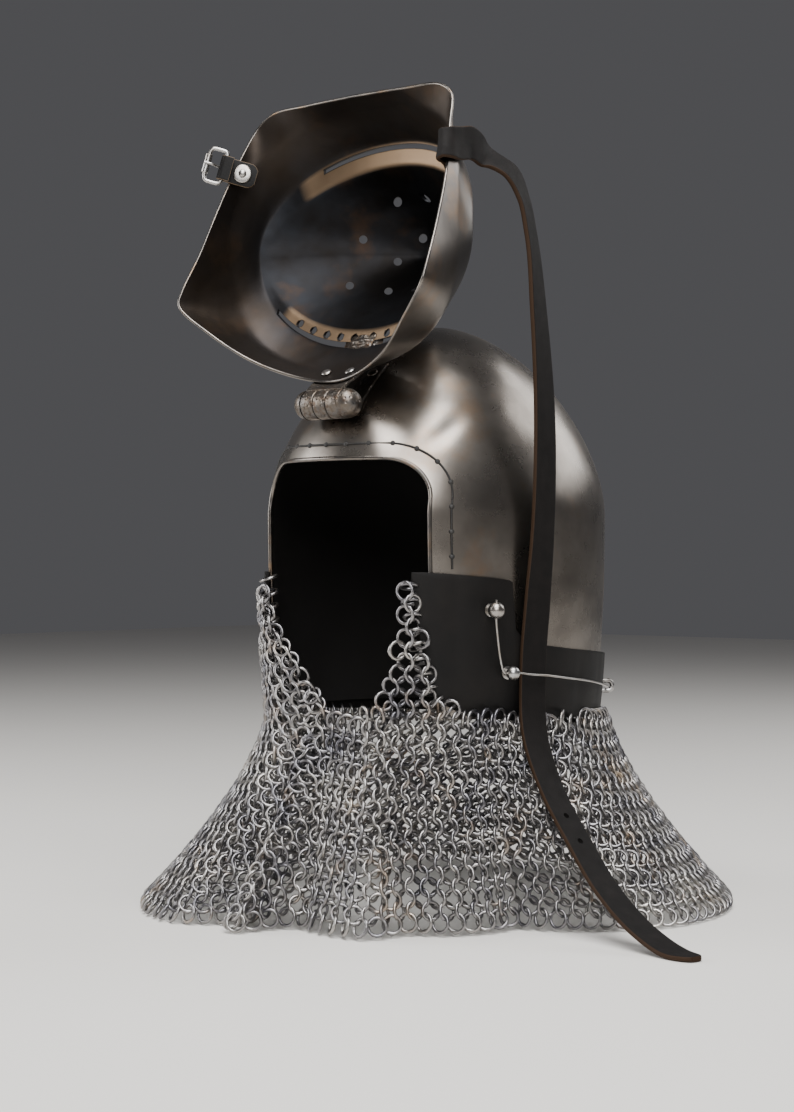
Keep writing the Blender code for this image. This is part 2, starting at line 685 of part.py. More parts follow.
def make_band():
    """The leather band: one strip from cheek to cheek round the back, outside the skull."""
    table = np.array(BAND_EDGES)
    half = np.unique(np.concatenate([table[:, 0], np.linspace(80, 180, BAND_REAR_STEPS + 1)]))
    angles = np.radians(np.concatenate([half, 360 - half[-2::-1]]))
    folded = np.where(angles > math.pi, angles - 2 * math.pi, angles)
    top = band_edge(folded, 1)
    low = band_edge(folded, 2)
    rows = [skull_point(angles, low + (top - low) * share, BAND_MIDDLE) for share in (0, 0.35, 0.7, 1)]
    band = add_object("leather_band", loft("leather_band", rows), HIDE)
    give_wall(band, BAND_THICKNESS, 0)
    return band


# Vervelles on one side, mirrored on the other. Columns: name, angle from the front in degrees, height
# as a share of the way up from the rear's low edge to the cheek's top, the ball's radius, and the
# direction that its wire hole takes, from 0 for level to 1 for upright.
VERVELLES = (
    ("front", 60.2, 0.772, 5.2 * MM, 1),
    ("lower", 66.2, 0.392, 4.4 * MM, 0),
)
STAPLE_ANGLE_DEG = 142
STAPLE_HEIGHT = 0.235
BAND_OUTER = BAND_GAP + BAND_THICKNESS
BAND_SPAN = CHEEK_TOP_Z - REAR_BOTTOM_Z


def on_band(angle_deg, share, out):
    """A place outside the band, by angle, by its height as a share, and straight out from its face."""
    angle = math.radians(angle_deg)
    z = REAR_BOTTOM_Z + BAND_SPAN * share
    return Vector(skull_point(angle, z, BAND_OUTER)) + skull_outward(angle, z) * out


def ball_out(radius):
    """How far a stud's ball has its centre from its seat."""
    return VERVELLE_STEM + math.sqrt(radius**2 - VERVELLE_STEM_RADIUS**2)


def make_vervelles():
    """The bored ball studs and the eye staples that hold the band on, left and right."""
    for side, hand in ((1, "left"), (-1, "right")):
        for name, angle, share, radius, upright in VERVELLES:
            seat = on_band(side * angle, share, SEAT_GAP)
            normal = skull_outward(side * math.radians(angle), seat.z)
            node = f"vervelle_{name}_{hand}"
            profile = ball_profile(radius, VERVELLE_STEM_RADIUS, VERVELLE_STEM)
            stud = add_object(node, turned(node, profile, seat, normal, RIVET_SIDES), BRIGHT)
            way = Vector((0, 0, 1)) if upright else normal.cross(Vector((0, 0, 1)))
            centre = seat + normal * ball_out(radius)
            mesh = drum("wire_hole", LACE_RADIUS + RUNNING_GAP, 3 * radius, centre, way, HOLE_SIDES)
            cut(stud, add_cutter(f"wire_hole_{name}_{hand}", mesh))
        seat = on_band(side * STAPLE_ANGLE_DEG, STAPLE_HEIGHT, 2 * SEAT_GAP)
        normal = skull_outward(side * math.radians(STAPLE_ANGLE_DEG), seat.z)
        steps = np.linspace(0, math.pi, 7)
        foot = STAPLE_REACH - STAPLE_HALF_HEIGHT
        points = [seat + Vector((0, 0, -STAPLE_HALF_HEIGHT))]
        for turn in steps:
            rise = -STAPLE_HALF_HEIGHT * math.cos(turn)
            reach = foot + STAPLE_HALF_HEIGHT * math.sin(turn)
            points.append(seat + normal * reach + Vector((0, 0, rise)))
        points.append(seat + Vector((0, 0, STAPLE_HALF_HEIGHT)))
        tube(f"eye_staple_{hand}", points, STAPLE_WIRE_RADIUS, BRIGHT, 1)


def lace_stops():
    """The wire's places from the front stud to the middle of the back, on the wearer's left: angle
    from the front in degrees, height as a share, and the distance out from the band."""
    (_, front, front_high, front_ball, _), (_, lower, lower_high, lower_ball, _) = VERVELLES
    far = ball_out(front_ball) + SEAT_GAP
    near = ball_out(lower_ball) + SEAT_GAP
    past = 1.25 * front_ball / BAND_SPAN
    fall = lower_high - STAPLE_HEIGHT
    rest = LACE_RADIUS + RUNNING_GAP
    return (
        (front, front_high + past, far),
        (front, front_high, far),
        (front, front_high - past, far),
        (front + 0.5, lower_high + 0.62 * (front_high - lower_high), far - 0.3 * MM),
        (front + 1.5, lower_high + 0.28 * (front_high - lower_high), near + 0.3 * MM),
        (lower - 3.2, lower_high + 0.2 * past, near),
        (lower - 1.8, lower_high, near),
        (lower, lower_high, near),
        (lower + 2.2, lower_high, near),
        (lower + 6.5, lower_high - 0.08 * fall, near - 0.3 * MM),
        (lower + 12, lower_high - 0.14 * fall, near - 0.5 * MM),
        (lower + 17, lower_high - 0.22 * fall, near - 0.8 * MM),
        (lower + 24, lower_high - 0.33 * fall, 4 * rest),
        (lower + 36, lower_high - 0.5 * fall, 2 * rest),
        (STAPLE_ANGLE_DEG - 18, lower_high - 0.85 * fall, 2 * rest),
        (STAPLE_ANGLE_DEG - 6, STAPLE_HEIGHT, STAPLE_REACH / 2),
        (STAPLE_ANGLE_DEG, STAPLE_HEIGHT, STAPLE_REACH / 2 + 2 * SEAT_GAP),
        (STAPLE_ANGLE_DEG + 6, STAPLE_HEIGHT, STAPLE_REACH / 2),
        (STAPLE_ANGLE_DEG + 20, STAPLE_HEIGHT, 2 * rest),
        (180, STAPLE_HEIGHT, 2 * rest),
    )


def make_lace():
    """The wire that locks the vervelles: along both sides, over the strap, and round the back."""
    stops = np.array(lace_stops())
    stops = np.concatenate([stops, (stops[-2::-1] * (-1, 1, 1)) + (360, 0, 0)])
    knots = np.arange(len(stops))
    fine = smooth_at(knots, stops, np.linspace(0, knots[-1], 3 * knots[-1] // 2 + 1))
    points = [on_band(angle, share, out) for angle, share, out in fine]
    return tube("vervelle_wire", points, LACE_RADIUS, BRIGHT, 1)


# The mail's upper edge over the bib, which hangs a little to the wearer's left. Columns: angle from
# the front in degrees towards the wearer's left, height as a share of the bib's.
BIB_EDGE = (
    (-35.8, 0.93),
    (-34.5, 0.98),
    (-31.5, 1.0),
    (-28.5, 0.97),
    (-26, 0.88),
    (-17, 0.57),
    (-9, 0.32),
    (1.7, 0.135),
    (8, 0.02),
    (12.9, 0.05),
    (20.5, 0.135),
    (27, 0.27),
    (30.3, 0.42),
    (32, 0.72),
    (33.2, 0.95),
    (34.6, 1.0),
    (35.8, 0.93),
)
# The hem's distance from the axis. Columns: angle from the front in degrees towards the wearer's
# left, share of the hem radius.
MAIL_HEM = (
    (-180, 0.98),
    (-150, 0.97),
    (-120, 1.0),
    (-90, 0.97),
    (-62, 1.0),
    (-47, 1.005),
    (-30, 1.015),
    (-20, 0.97),
    (-14, 0.86),
    (-10, 0.8),
    (-5.5, 0.95),
    (-2, 0.8),
    (3, 0.74),
    (9, 0.77),
    (17, 0.81),
    (23, 0.82),
    (30, 0.72),
    (42, 0.71),
    (54, 0.67),
    (62, 0.63),
    (70, 0.72),
    (80, 0.81),
    (92, 0.91),
    (103, 0.96),
    (129, 0.995),
    (150, 1.0),
    (180, 0.98),
)
MAIL_INNER = BAND_OUTER + MAIL_GAP


def mail_top(angle):
    """The mail's upper edge: the neck opening, the bib up the cheeks, then just over the band's edge."""
    table = np.array(BIB_EDGE)
    turned_by = np.degrees(angle)
    bib = BIB_BOTTOM_Z + (BIB_TOP_Z - BIB_BOTTOM_Z) * np.interp(turned_by, table[:, 0], table[:, 1])
    hung = band_edge(angle, 2) + MAIL_OVERLAP
    return np.where(np.abs(turned_by) < table[-1, 0] + 0.1, bib, hung)


def mail_point(angle, z):
    """The mail's middle surface: a neck tube beside the band that flares in a concave sweep to the hem."""
    table = np.array(MAIL_HEM)
    out = MAIL_INNER + MAIL_THICKNESS / 2
    neck = skull_point(angle, np.maximum(z, SKULL_EDGE_Z), out)
    front = np.clip(np.cos(angle), 0, 1) ** 6
    pull = np.clip((MAIL_NECK_FRONT + out) / np.maximum(np.abs(neck[..., 1]), 1 * MM), 0, 1)
    neck[..., 1] *= 1 - front * (1 - pull)
    share = smooth_at(table[:, 0], table[:, 1], np.degrees(angle).ravel()).reshape(np.shape(angle))
    hem = MAIL_HEM_RADIUS - MAIL_THICKNESS / 2
    foot = np.stack([hem * share * np.sin(angle), -hem * share * np.cos(angle)], -1)
    fall = np.clip((MAIL_FLARE_Z - z) / MAIL_FLARE_Z, 0, 1) ** MAIL_FLARE_POWER
    spot = np.array(neck)
    spot[..., :2] += (foot - neck[..., :2]) * fall[..., None]
    spot[..., 2] = z
    return spot


def make_mail():
    """The mail as one walled surface from its upper edge down to a hem that stands level on the floor."""
    side = np.concatenate([(37, 39, 41.5, 45), np.linspace(51, 172, 15)])
    between = (-22, -13, -4.5, 5, 16.5, 24, 180)
    degrees = np.sort(np.concatenate([-side, np.array(BIB_EDGE)[:, 0], between, side]))
    angles = np.radians(degrees)
    top = mail_top(angles)
    shares = np.linspace(0, 1, MAIL_ROWS) ** 0.85
    outer = []
    inner = []
    for share in shares:
        z = top * (1 - share)
        middle = mail_point(angles, z)
        if share == 1:
            middle[:, 2] = 0
        ahead = mail_point(angles + 0.01, z) - mail_point(angles - 0.01, z)
        below = mail_point(angles, np.maximum(z - MM, 0)) - mail_point(angles, z + MM)
        normal = np.cross(ahead, below)
        normal /= np.linalg.norm(normal, axis=1, keepdims=True)
        outward = np.sign((normal[:, :2] * middle[:, :2]).sum(1, keepdims=True))
        shift = normal * outward * MAIL_THICKNESS / 2
        if share in (0, 1):
            shift[:, 2] = 0
        outer.append(middle + shift)
        inner.append(middle - shift)
    profile = np.concatenate([np.array(outer), np.array(inner)[::-1]])
    columns = np.transpose(profile, (1, 0, 2))
    bm = bmesh.new()
    rings = [[bm.verts.new(point) for point in column] for column in columns]
    count = len(rings[0])
    for first, second in zip(rings, rings[1:] + rings[:1]):
        for i in range(count):
            j = (i + 1) % count
            bm.faces.new((first[i], first[j], second[j], second[i]))
    return add_object("mail_aventail", mesh_of(bm, "mail_aventail"), RINGS)


# The strap's loop over the visor's edge. Columns: distance from the edge into the visor's wall, out from
# the wall and along the edge, as shares of the strap's width, then the direction across the strap's
# width (side, back, up).
STRAP_LOOP = (
    (0.83, -0.535, 0.635, -0.2, 0.4, 1),
    (0.43, -0.36, 0.475, -0.2, 0.4, 1),
    (0.06, -0.235, 0.31, -0.2, 0.4, 1),
    (-0.215, -0.17, 0.205, -0.2, 0.4, 1),
    (-0.385, 0.01, 0.13, -0.2, 0.4, 1),
    (-0.21, 0.195, 0.18, -0.2, 0.4, 1),
    (0.08, 0.23, 0.32, -0.15, 0.4, 1),
    (0.425, 0.24, 0.53, -0.1, 0.42, 1),
    (0.81, 0.255, 0.78, 0, 0.46, 1),
    (1.19, 0.26, 0.875, -0.1, 0.6, 0.9),
    (1.61, 0.26, 0.865, -0.2, 0.85, 0.65),
)
# The strap's fall beside the skull to the wire. Columns: angle from the front in degrees, share of the
# way down from the loop's turn to the wire, distance out from the skull as a share of its half width,
# then the direction across.
STRAP_FALL = (
    (65.4, 0.022, 0.1, -0.25, 1, 0.35),
    (68.7, 0.066, 0.105, -0.35, 1, 0.12),
    (71, 0.136, 0.112, -0.35, 1, 0),
    (73.2, 0.289, 0.125, -0.2, 1, 0),
    (75.6, 0.515, 0.118, 0, 1, 0),
    (76.1, 0.735, 0.081, 0.1, 1, 0),
    (75.4, 0.862, 0.062, 0.22, 1, 0),
    (74.8, 1, 0.054, 0.24, 1, 0),
)
# Its way out over the mail to the floor. Columns: angle, height as a share of the height at which the
# mail starts to flare, distance out from the mail as a share of the hem's radius, then the direction.
STRAP_SPREAD = (
    (73.4, 0.936, 0.04, 0.22, 1, 0),
    (73.3, 0.696, 0.084, 0.15, 1, 0),
    (73.3, 0.472, 0.157, 0.15, 1, 0),
    (73, 0.232, 0.254, 0.2, 1, 0),
    (72.9, 0.072, 0.382, 0.25, 1, 0),
    (73, 0, 0.488, 0.3, 1, 0),
    (73.1, 0, 0.565, 0.3, 1, 0),
)
STRAP_FIRST_HOLE = 120 * MM
STRAP_HOLE_PITCH = 19 * MM
STRAP_HOLES = 2
STRAP_TIP = 24 * MM


def raised(spots):
    """Moves places from the visor's own shut frame to where they stand on the raised visor."""
    turn = math.radians(VISOR_RAISED_DEG)
    back = spots[..., 1] * math.cos(turn) - spots[..., 2] * math.sin(turn) - HINGE_FORWARD
    up = spots[..., 1] * math.sin(turn) + spots[..., 2] * math.cos(turn) + HINGE_Z
    return np.stack([spots[..., 0], back, up], -1)


def by_visor_edge(turn_deg, into, out, along):
    """A place near the raised visor's edge, measured into its wall, out from it and along the edge."""
    turns = np.radians(turn_deg + np.array((-1, 0, 1)))
    edge = raised(visor_edge(turns))
    ring = raised(visor_ring(VISOR_RINGS[0], turns))[1]
    course = (edge[2] - edge[0]) / np.linalg.norm(edge[2] - edge[0])
    inward = ring - edge[1]
    inward = inward - course * inward.dot(course)
    inward /= np.linalg.norm(inward)
    outward = np.cross(course, inward)
    return edge[1] + inward * into + outward * np.sign(outward[0] * edge[1][0]) * out + course * along


def strap_centres():
    """The strap's middle line: its loop over the visor's edge, its fall and its spread on the floor."""
    loop = [by_visor_edge(STRAP_LOOP_DEG, *np.array(row[:3]) * STRAP_WIDTH) for row in STRAP_LOOP]
    high = by_visor_edge(STRAP_LOOP_DEG, 0, 0, 0)[2]
    low = REAR_BOTTOM_Z + BAND_SPAN * VERVELLES[1][2]
    fall = []
    for angle, share, out, *_ in STRAP_FALL:
        z = high + (low - high) * share
        spot = skull_point(math.radians(angle), min(z, SKULL_WIDEST_Z), out * SKULL_HALF_WIDTH)
        fall.append(spot * (1, 1, 0) + np.array((0, 0, z)))
    spread = []
    for angle, share, out, *_ in STRAP_SPREAD:
        z = max(share * MAIL_FLARE_Z, STRAP_THICKNESS / 2 + SEAT_GAP)
        spot = mail_point(np.radians([angle]), np.array([z]))[0] * (1, 1, 0)
        reach = 1 + out * MAIL_HEM_RADIUS / np.linalg.norm(spot)
        spread.append(spot * reach + np.array((0, 0, z)))
    return np.array(loop + fall + spread)


def make_strap():
    """The strap: a flat strip over the visor's edge, down outside the skull and out over the mail."""
    course = np.array(STRAP_LOOP + STRAP_FALL + STRAP_SPREAD, float)
    centres = strap_centres()
    steps = np.linalg.norm(np.diff(centres, axis=0), axis=1)
    knots = np.concatenate([[0], np.cumsum(steps)])
    length = knots[-1]
    rounding = length - STRAP_TIP * np.array((0.7, 0.4, 0.15))
    at = np.unique(np.concatenate([np.linspace(0, length, STRAP_STATIONS), rounding]))
    middle = smooth_at(knots, centres, at)
    across = smooth_at(knots, course[:, 3:], at)
    left = np.clip((length - at) / STRAP_TIP, 0, 1)
    width = STRAP_WIDTH * (0.3 + 0.7 * np.sqrt(1 - (1 - left) ** 2))
    strap = ribbon("visor_strap", middle, across, width, STRAP_THICKNESS, STRAP_HIDE)
    for i in range(STRAP_HOLES):
        place = length - STRAP_FIRST_HOLE - i * STRAP_HOLE_PITCH
        spot = smooth_at(knots, centres, place)[0]
        ahead = smooth_at(knots, centres, place + MM)[0] - spot
        side = smooth_at(knots, course[:, 3:], place)[0]
        mesh = drum("strap_hole", STRAP_HOLE_RADIUS, 12 * MM, spot, np.cross(ahead, side), HOLE_SIDES)
        cut(strap, add_cutter(f"strap_hole_{i}", mesh))
    return strap


# Where the buckle's tab is riveted, on the wearer's right of the raised visor: the turn along the
# visor's edge, then the places into its wall and out from it. The two directions are (side, back, up).
TAB_TURN_DEG = -113.5
TAB_INTO = 2.7 * MM
TAB_OUT = -6.2 * MM
TAB_ALONG = (-0.7, -0.6, 0.26)
TAB_FACE = (0.66, -0.75, 0.0)


def make_buckle():
    """The buckle on its folded leather tab, held to the visor's edge by a rivet and a washer."""
    along = Vector(TAB_ALONG).normalized()
    face = Vector(TAB_FACE)
    face = (face - along * face.dot(along)).normalized()
    across = along.cross(face)
    place = Vector(by_visor_edge(TAB_TURN_DEG, TAB_INTO, TAB_OUT, 0))

    def at(reach, rise, side=0.0):
        """A place along the tab, above its face and to its side."""
        return place + along * reach + face * rise + across * side

    bar = TAB_LENGTH - 9 * MM
    loop = BUCKLE_WIRE_RADIUS + SEAT_GAP + TAB_THICKNESS / 2
    turns = np.linspace(-0.5 * math.pi, 0.45 * math.pi, 7)
    centres = [at(-9 * MM, 0), at(0, 0), at(bar - 5 * MM, 0)]
    lift = loop + 0.2 * MM
    centres += [at(bar + loop * math.cos(turn), lift + loop * math.sin(turn)) for turn in turns]
    centres += [at(bar - 4.5 * MM, lift + 0.9 * loop)]
    widths = np.full(len(centres), TAB_WIDTH)
    widths[0] = 0.6 * TAB_WIDTH
    acrosses = np.array([across] * len(centres))
    ribbon("buckle_tab", np.array(centres), acrosses, widths, TAB_THICKNESS, HIDE)

    half = BUCKLE_WIDTH / 2
    far = bar + BUCKLE_LENGTH
    corner = 3 * MM
    frame = [(bar, half - corner), (bar + corner, half), (far - corner, half), (far, half - corner)]
    frame = [*frame, *[(reach, -side) for reach, side in reversed(frame)]]
    points = [at(reach, lift, side) for reach, side in frame]
    tube("buckle_frame", points, BUCKLE_WIRE_RADIUS, BRIGHT, 1, cyclic=True)

    sleeve_half = half - corner - 1.5 * MM
    sleeve = drum("buckle_roller", ROLLER_RADIUS, 2 * sleeve_half, at(far, lift), across, 12)
    roller = add_object("buckle_roller", sleeve, BRIGHT)
    hole = drum("roller_bore", BUCKLE_WIRE_RADIUS + RUNNING_GAP, 3 * sleeve_half, at(far, lift), across, 12)
    cut(roller, add_cutter("roller_bore", hole))

    head = lift + ROLLER_RADIUS + 1.2 * MM
    prong = [
        at(bar + 4.2 * MM, lift + 0.2 * MM),
        at(bar + 6 * MM, lift + 1.6 * MM),
        at(far - 3 * MM, head),
        at(far + 1.5 * MM, head),
    ]
    tube("buckle_prong", prong, PRONG_RADIUS, BRIGHT, 1)

    rise = TAB_THICKNESS / 2 + SEAT_GAP
    washer = [(0, rise), (WASHER_RADIUS, rise), (WASHER_RADIUS, rise + 0.7 * WASHER_THICKNESS)]
    washer += [(0.85 * WASHER_RADIUS, rise + WASHER_THICKNESS), (0, rise + WASHER_THICKNESS)]
    add_object("tab_washer", turned("tab_washer", washer, place, face, 16), BRIGHT)
    profile = dome_profile(TAB_RIVET_RADIUS, 1.6 * MM, rise + WASHER_THICKNESS + SEAT_GAP)
    add_object("tab_rivet", turned("tab_rivet", profile, place, face, RIVET_SIDES), BRIGHT)


def centre_origin():
    """Moves the whole object so that the origin is under the middle of its box."""
    bpy.context.view_layer.update()
    graph = bpy.context.evaluated_depsgraph_get()
    low = np.full(3, np.inf)
    high = np.full(3, -np.inf)
    for obj in PARTS.objects:
        if obj.type != "MESH":
            continue
        spots = np.array([obj.matrix_world @ v.co for v in obj.evaluated_get(graph).data.vertices])
        low = np.minimum(low, spots.min(0))
        high = np.maximum(high, spots.max(0))
    ROOT.location = (-(low[0] + high[0]) / 2, -(low[1] + high[1]) / 2, -low[2])


def main():
    """Builds every piece."""
    make_skull()
    seat = bpy.data.objects.new("hinge_seat", None)
    pivot = bpy.data.objects.new("visor_pivot", None)
    for empty in (seat, pivot):
        PARTS.objects.link(empty)
        empty.parent = ROOT
        empty.location = (0, -HINGE_FORWARD, HINGE_Z)
    pivot.rotation_euler.x = math.radians(VISOR_RAISED_DEG)
    bpy.context.view_layer.update()
    make_visor(pivot)
    make_hinge(pivot, seat)
    make_band()
    make_vervelles()
    make_lace()
    make_mail()
    make_strap()
    make_buckle()
    centre_origin()


main()
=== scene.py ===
"""The looks of a raised-visor bascinet helmet with a riveted mail neck guard on a leather band.

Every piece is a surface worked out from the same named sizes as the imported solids, only finer. The
helmet's own axis is upright, the face looks along -Y and the wearer's left is +X.
"""

import enum
import json
import logging
import math
from collections.abc import Sequence
from dataclasses import dataclass

import bpy
import numpy as np
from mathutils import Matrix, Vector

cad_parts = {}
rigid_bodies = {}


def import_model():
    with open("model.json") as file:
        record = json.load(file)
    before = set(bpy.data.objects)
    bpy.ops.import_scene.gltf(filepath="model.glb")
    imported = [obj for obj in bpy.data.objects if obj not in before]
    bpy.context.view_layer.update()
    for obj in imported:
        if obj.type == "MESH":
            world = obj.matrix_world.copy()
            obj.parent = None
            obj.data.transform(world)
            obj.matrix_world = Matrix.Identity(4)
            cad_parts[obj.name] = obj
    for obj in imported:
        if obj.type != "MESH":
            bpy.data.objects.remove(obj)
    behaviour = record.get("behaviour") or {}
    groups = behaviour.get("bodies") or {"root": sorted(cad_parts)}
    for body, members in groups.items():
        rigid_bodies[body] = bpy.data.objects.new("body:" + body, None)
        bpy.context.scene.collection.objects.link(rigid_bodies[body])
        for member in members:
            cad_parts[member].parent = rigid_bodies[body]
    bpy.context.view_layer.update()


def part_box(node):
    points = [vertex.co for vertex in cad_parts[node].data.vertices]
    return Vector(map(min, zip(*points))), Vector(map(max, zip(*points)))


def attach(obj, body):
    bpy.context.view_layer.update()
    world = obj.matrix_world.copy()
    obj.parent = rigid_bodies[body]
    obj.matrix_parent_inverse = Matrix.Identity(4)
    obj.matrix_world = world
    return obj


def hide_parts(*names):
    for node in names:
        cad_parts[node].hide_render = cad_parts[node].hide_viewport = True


LOG = logging.getLogger("helmet")
MM = 0.001
SEAT_GAP = 0.3 * MM
RUNNING_GAP = 0.4 * MM
SHARP_DEG = 35
# The grain's scale along X, Y and Z: brushing drawn out upwards
BRUSHED = (1, 1, 0.12)
Array = np.ndarray


class Tone(enum.Enum):
    """The object's colours as sRGB hex values."""

    STEEL = "9a938b"
    # Painted reflection: warm brown patches on the steel, standing in for warm surroundings seen in it
    STEEL_WARM_REFLECTION = "8c735b"
    STEEL_MID = "7c756e"
    STEEL_DARK = "5d5a58"
    BLACKENED = "1d1b1a"
    BLACKENED_BLUE = "27292d"
    PATINA = "3b2d22"
    # Painted light: tan on the visor's inner ledges and, faintly, on its flange, for the light they catch
    LEDGE_TAN = "85705a"
    FORGED = "6a6157"
    FORGED_RUST = "4a3a2e"
    NICKEL = "adacab"
    RING = "b2aea8"
    RING_WARM = "b39a7c"
    RING_DARK = "6c6b70"
    HIDE = "070606"
    HIDE_WORN = "120f0d"
    FLESH_SIDE = "6b5a48"
    STRAP = "0d0b0a"
    STRAP_WORN = "141110"
    RAW_EDGE = "2e2015"
    THREAD = "17130f"
    FLOOR = "dcd9d4"
    STUDIO = "8f8f93"


def linear(tone: Tone) -> tuple[float, float, float, float]:
    """Turns a colour's sRGB hex value to linear.

    Args:
        tone: The colour.

    Returns:
        Linear red, green, blue and a full alpha.
    """
    shares = [int(tone.value[i : i + 2], 16) / 255 for i in (0, 2, 4)]
    red, green, blue = (s / 12.92 if s <= 0.04045 else ((s + 0.055) / 1.055) ** 2.4 for s in shares)
    return red, green, blue, 1.0


def add_node(
    tree: bpy.types.NodeTree, kind: str, inputs: dict | None = None, **settings: object
) -> bpy.types.Node:
    """Adds a shader node with its settings, values and links.

    Args:
        tree: The node tree.
        kind: The node's type without its ShaderNode prefix.
        inputs: For each input's name or number, a value or the output socket that feeds it.
        **settings: The node's own properties.

    Returns:
        The node.
    """
    node = tree.nodes.new("ShaderNode" + kind)
    for key, value in settings.items():
        setattr(node, key, value)
    for key, value in (inputs or {}).items():
        if isinstance(value, bpy.types.NodeSocket):
            tree.links.new(value, node.inputs[key])
        elif isinstance(value, Tone):
            node.inputs[key].default_value = linear(value)
        else:
            node.inputs[key].default_value = value
    return node


@dataclass(frozen=True)
class Finish:
    """A finish made of two mottled layers over a base colour, with grain and dents in its relief.

    Sizes are the real ones in millimetres; grain_mm is drawn as coarse as it needs to show.
    """

    name: str
    base: Tone
    mottle: Tone
    stain_and_reflection: Tone
    metallic: float
    rough: tuple[float, float]
    mottle_mm: float
    stain_and_reflection_mm: float
    stain_and_reflection_share: float
    grain_mm: float
    grain_stretch: tuple[float, float, float] = (1, 1, 1)
    grain_depth_mm: float = 0.02
    dent_mm: float = 40
    dent_depth_mm: float = 0.0
    pit_mm: float = 0.0
    pit_depth_mm: float = 0.0
    tone_attribute: str = ""
    edge: Tone | None = None
    specular: float = 0.5

    def build(self) -> bpy.types.Material:
        """Builds the material: mottled colour, uneven roughness and stacked bumps.

        Returns:
            The material.
        """
        made = bpy.data.materials.new(self.name)
        made.use_nodes = True
        tree = made.node_tree
        shader = tree.nodes["Principled BSDF"]
        where = add_node(tree, "TexCoord").outputs["Object"]
        mottle = self._noise(tree, where, self.mottle_mm, 4).outputs["Fac"]
        stain_and_reflection = self._noise(tree, where, self.stain_and_reflection_mm, 6).outputs["Fac"]
        spread = add_node(
            tree, "MapRange", {"Value": mottle, "From Min": 0.35, "From Max": 0.65}
        ).outputs["Result"]
        low = 0.72 - 0.45 * self.stain_and_reflection_share
        patch = add_node(
            tree, "MapRange", {"Value": stain_and_reflection, "From Min": low, "From Max": low + 0.22}
        ).outputs["Result"]
        colour = self._mix(tree, spread, linear(self.base), linear(self.mottle))
        # Stains, and on the bright steel warm brown patches of painted reflection
        colour = self._mix(tree, patch, colour, linear(self.stain_and_reflection))
        if self.tone_attribute:
            told = add_node(tree, "Attribute", attribute_name=self.tone_attribute).outputs["Fac"]
            colour = self._mix(tree, told, colour, linear(self.edge or self.stain_and_reflection))
        tree.links.new(colour, shader.inputs["Base Color"])
        rough = add_node(
            tree, "MapRange", {"Value": stain_and_reflection, "To Min": self.rough[0], "To Max": self.rough[1]}
        ).outputs["Result"]
        tree.links.new(rough, shader.inputs["Roughness"])
        shader.inputs["Metallic"].default_value = self.metallic
        shader.inputs["Specular IOR Level"].default_value = self.specular
        tree.links.new(self._relief(tree, where), shader.inputs["Normal"])
        return made

    def _noise(
        self, tree: bpy.types.NodeTree, where: bpy.types.NodeSocket, size_mm: float, detail: float
    ) -> bpy.types.Node:
        """Noise whose blobs are about size_mm across, on the given coordinates."""
        return add_node(
            tree, "TexNoise", {"Vector": where, "Scale": 1000 / size_mm, "Detail": detail, "Roughness": 0.6}
        )

    def _mix(
        self, tree: bpy.types.NodeTree, share: bpy.types.NodeSocket, low: object, high: object
    ) -> bpy.types.NodeSocket:
        """Mixes two colours by a share."""
        node = add_node(tree, "Mix", {0: share, 6: low, 7: high}, data_type="RGBA")
        return node.outputs[2]

    def _relief(self, tree: bpy.types.NodeTree, where: bpy.types.NodeSocket) -> bpy.types.NodeSocket:
        """Stacks the grain, the pits and the dents as bumps of their real depths."""
        turned = add_node(tree, "Mapping", {"Vector": where, "Scale": self.grain_stretch}).outputs[0]
        grain = self._noise(tree, turned, self.grain_mm, 3).outputs["Fac"]
        bump = add_node(
            tree, "Bump", {"Height": grain, "Distance": self.grain_depth_mm * MM, "Strength": 1.0}
        ).outputs[0]
        if self.pit_depth_mm:
            pits = add_node(tree, "TexVoronoi", {"Vector": where, "Scale": 1000 / self.pit_mm})
            deep = add_node(
                tree, "MapRange", {"Value": pits.outputs["Distance"], "From Max": 0.45}
            ).outputs["Result"]
            inputs = {"Height": deep, "Distance": self.pit_depth_mm * MM, "Normal": bump}
            bump = add_node(tree, "Bump", inputs).outputs[0]
        if self.dent_depth_mm:
            dents = self._noise(tree, where, self.dent_mm, 1).outputs["Fac"]
            inputs = {"Height": dents, "Distance": self.dent_depth_mm * MM, "Normal": bump}
            bump = add_node(tree, "Bump", inputs).outputs[0]
        return bump


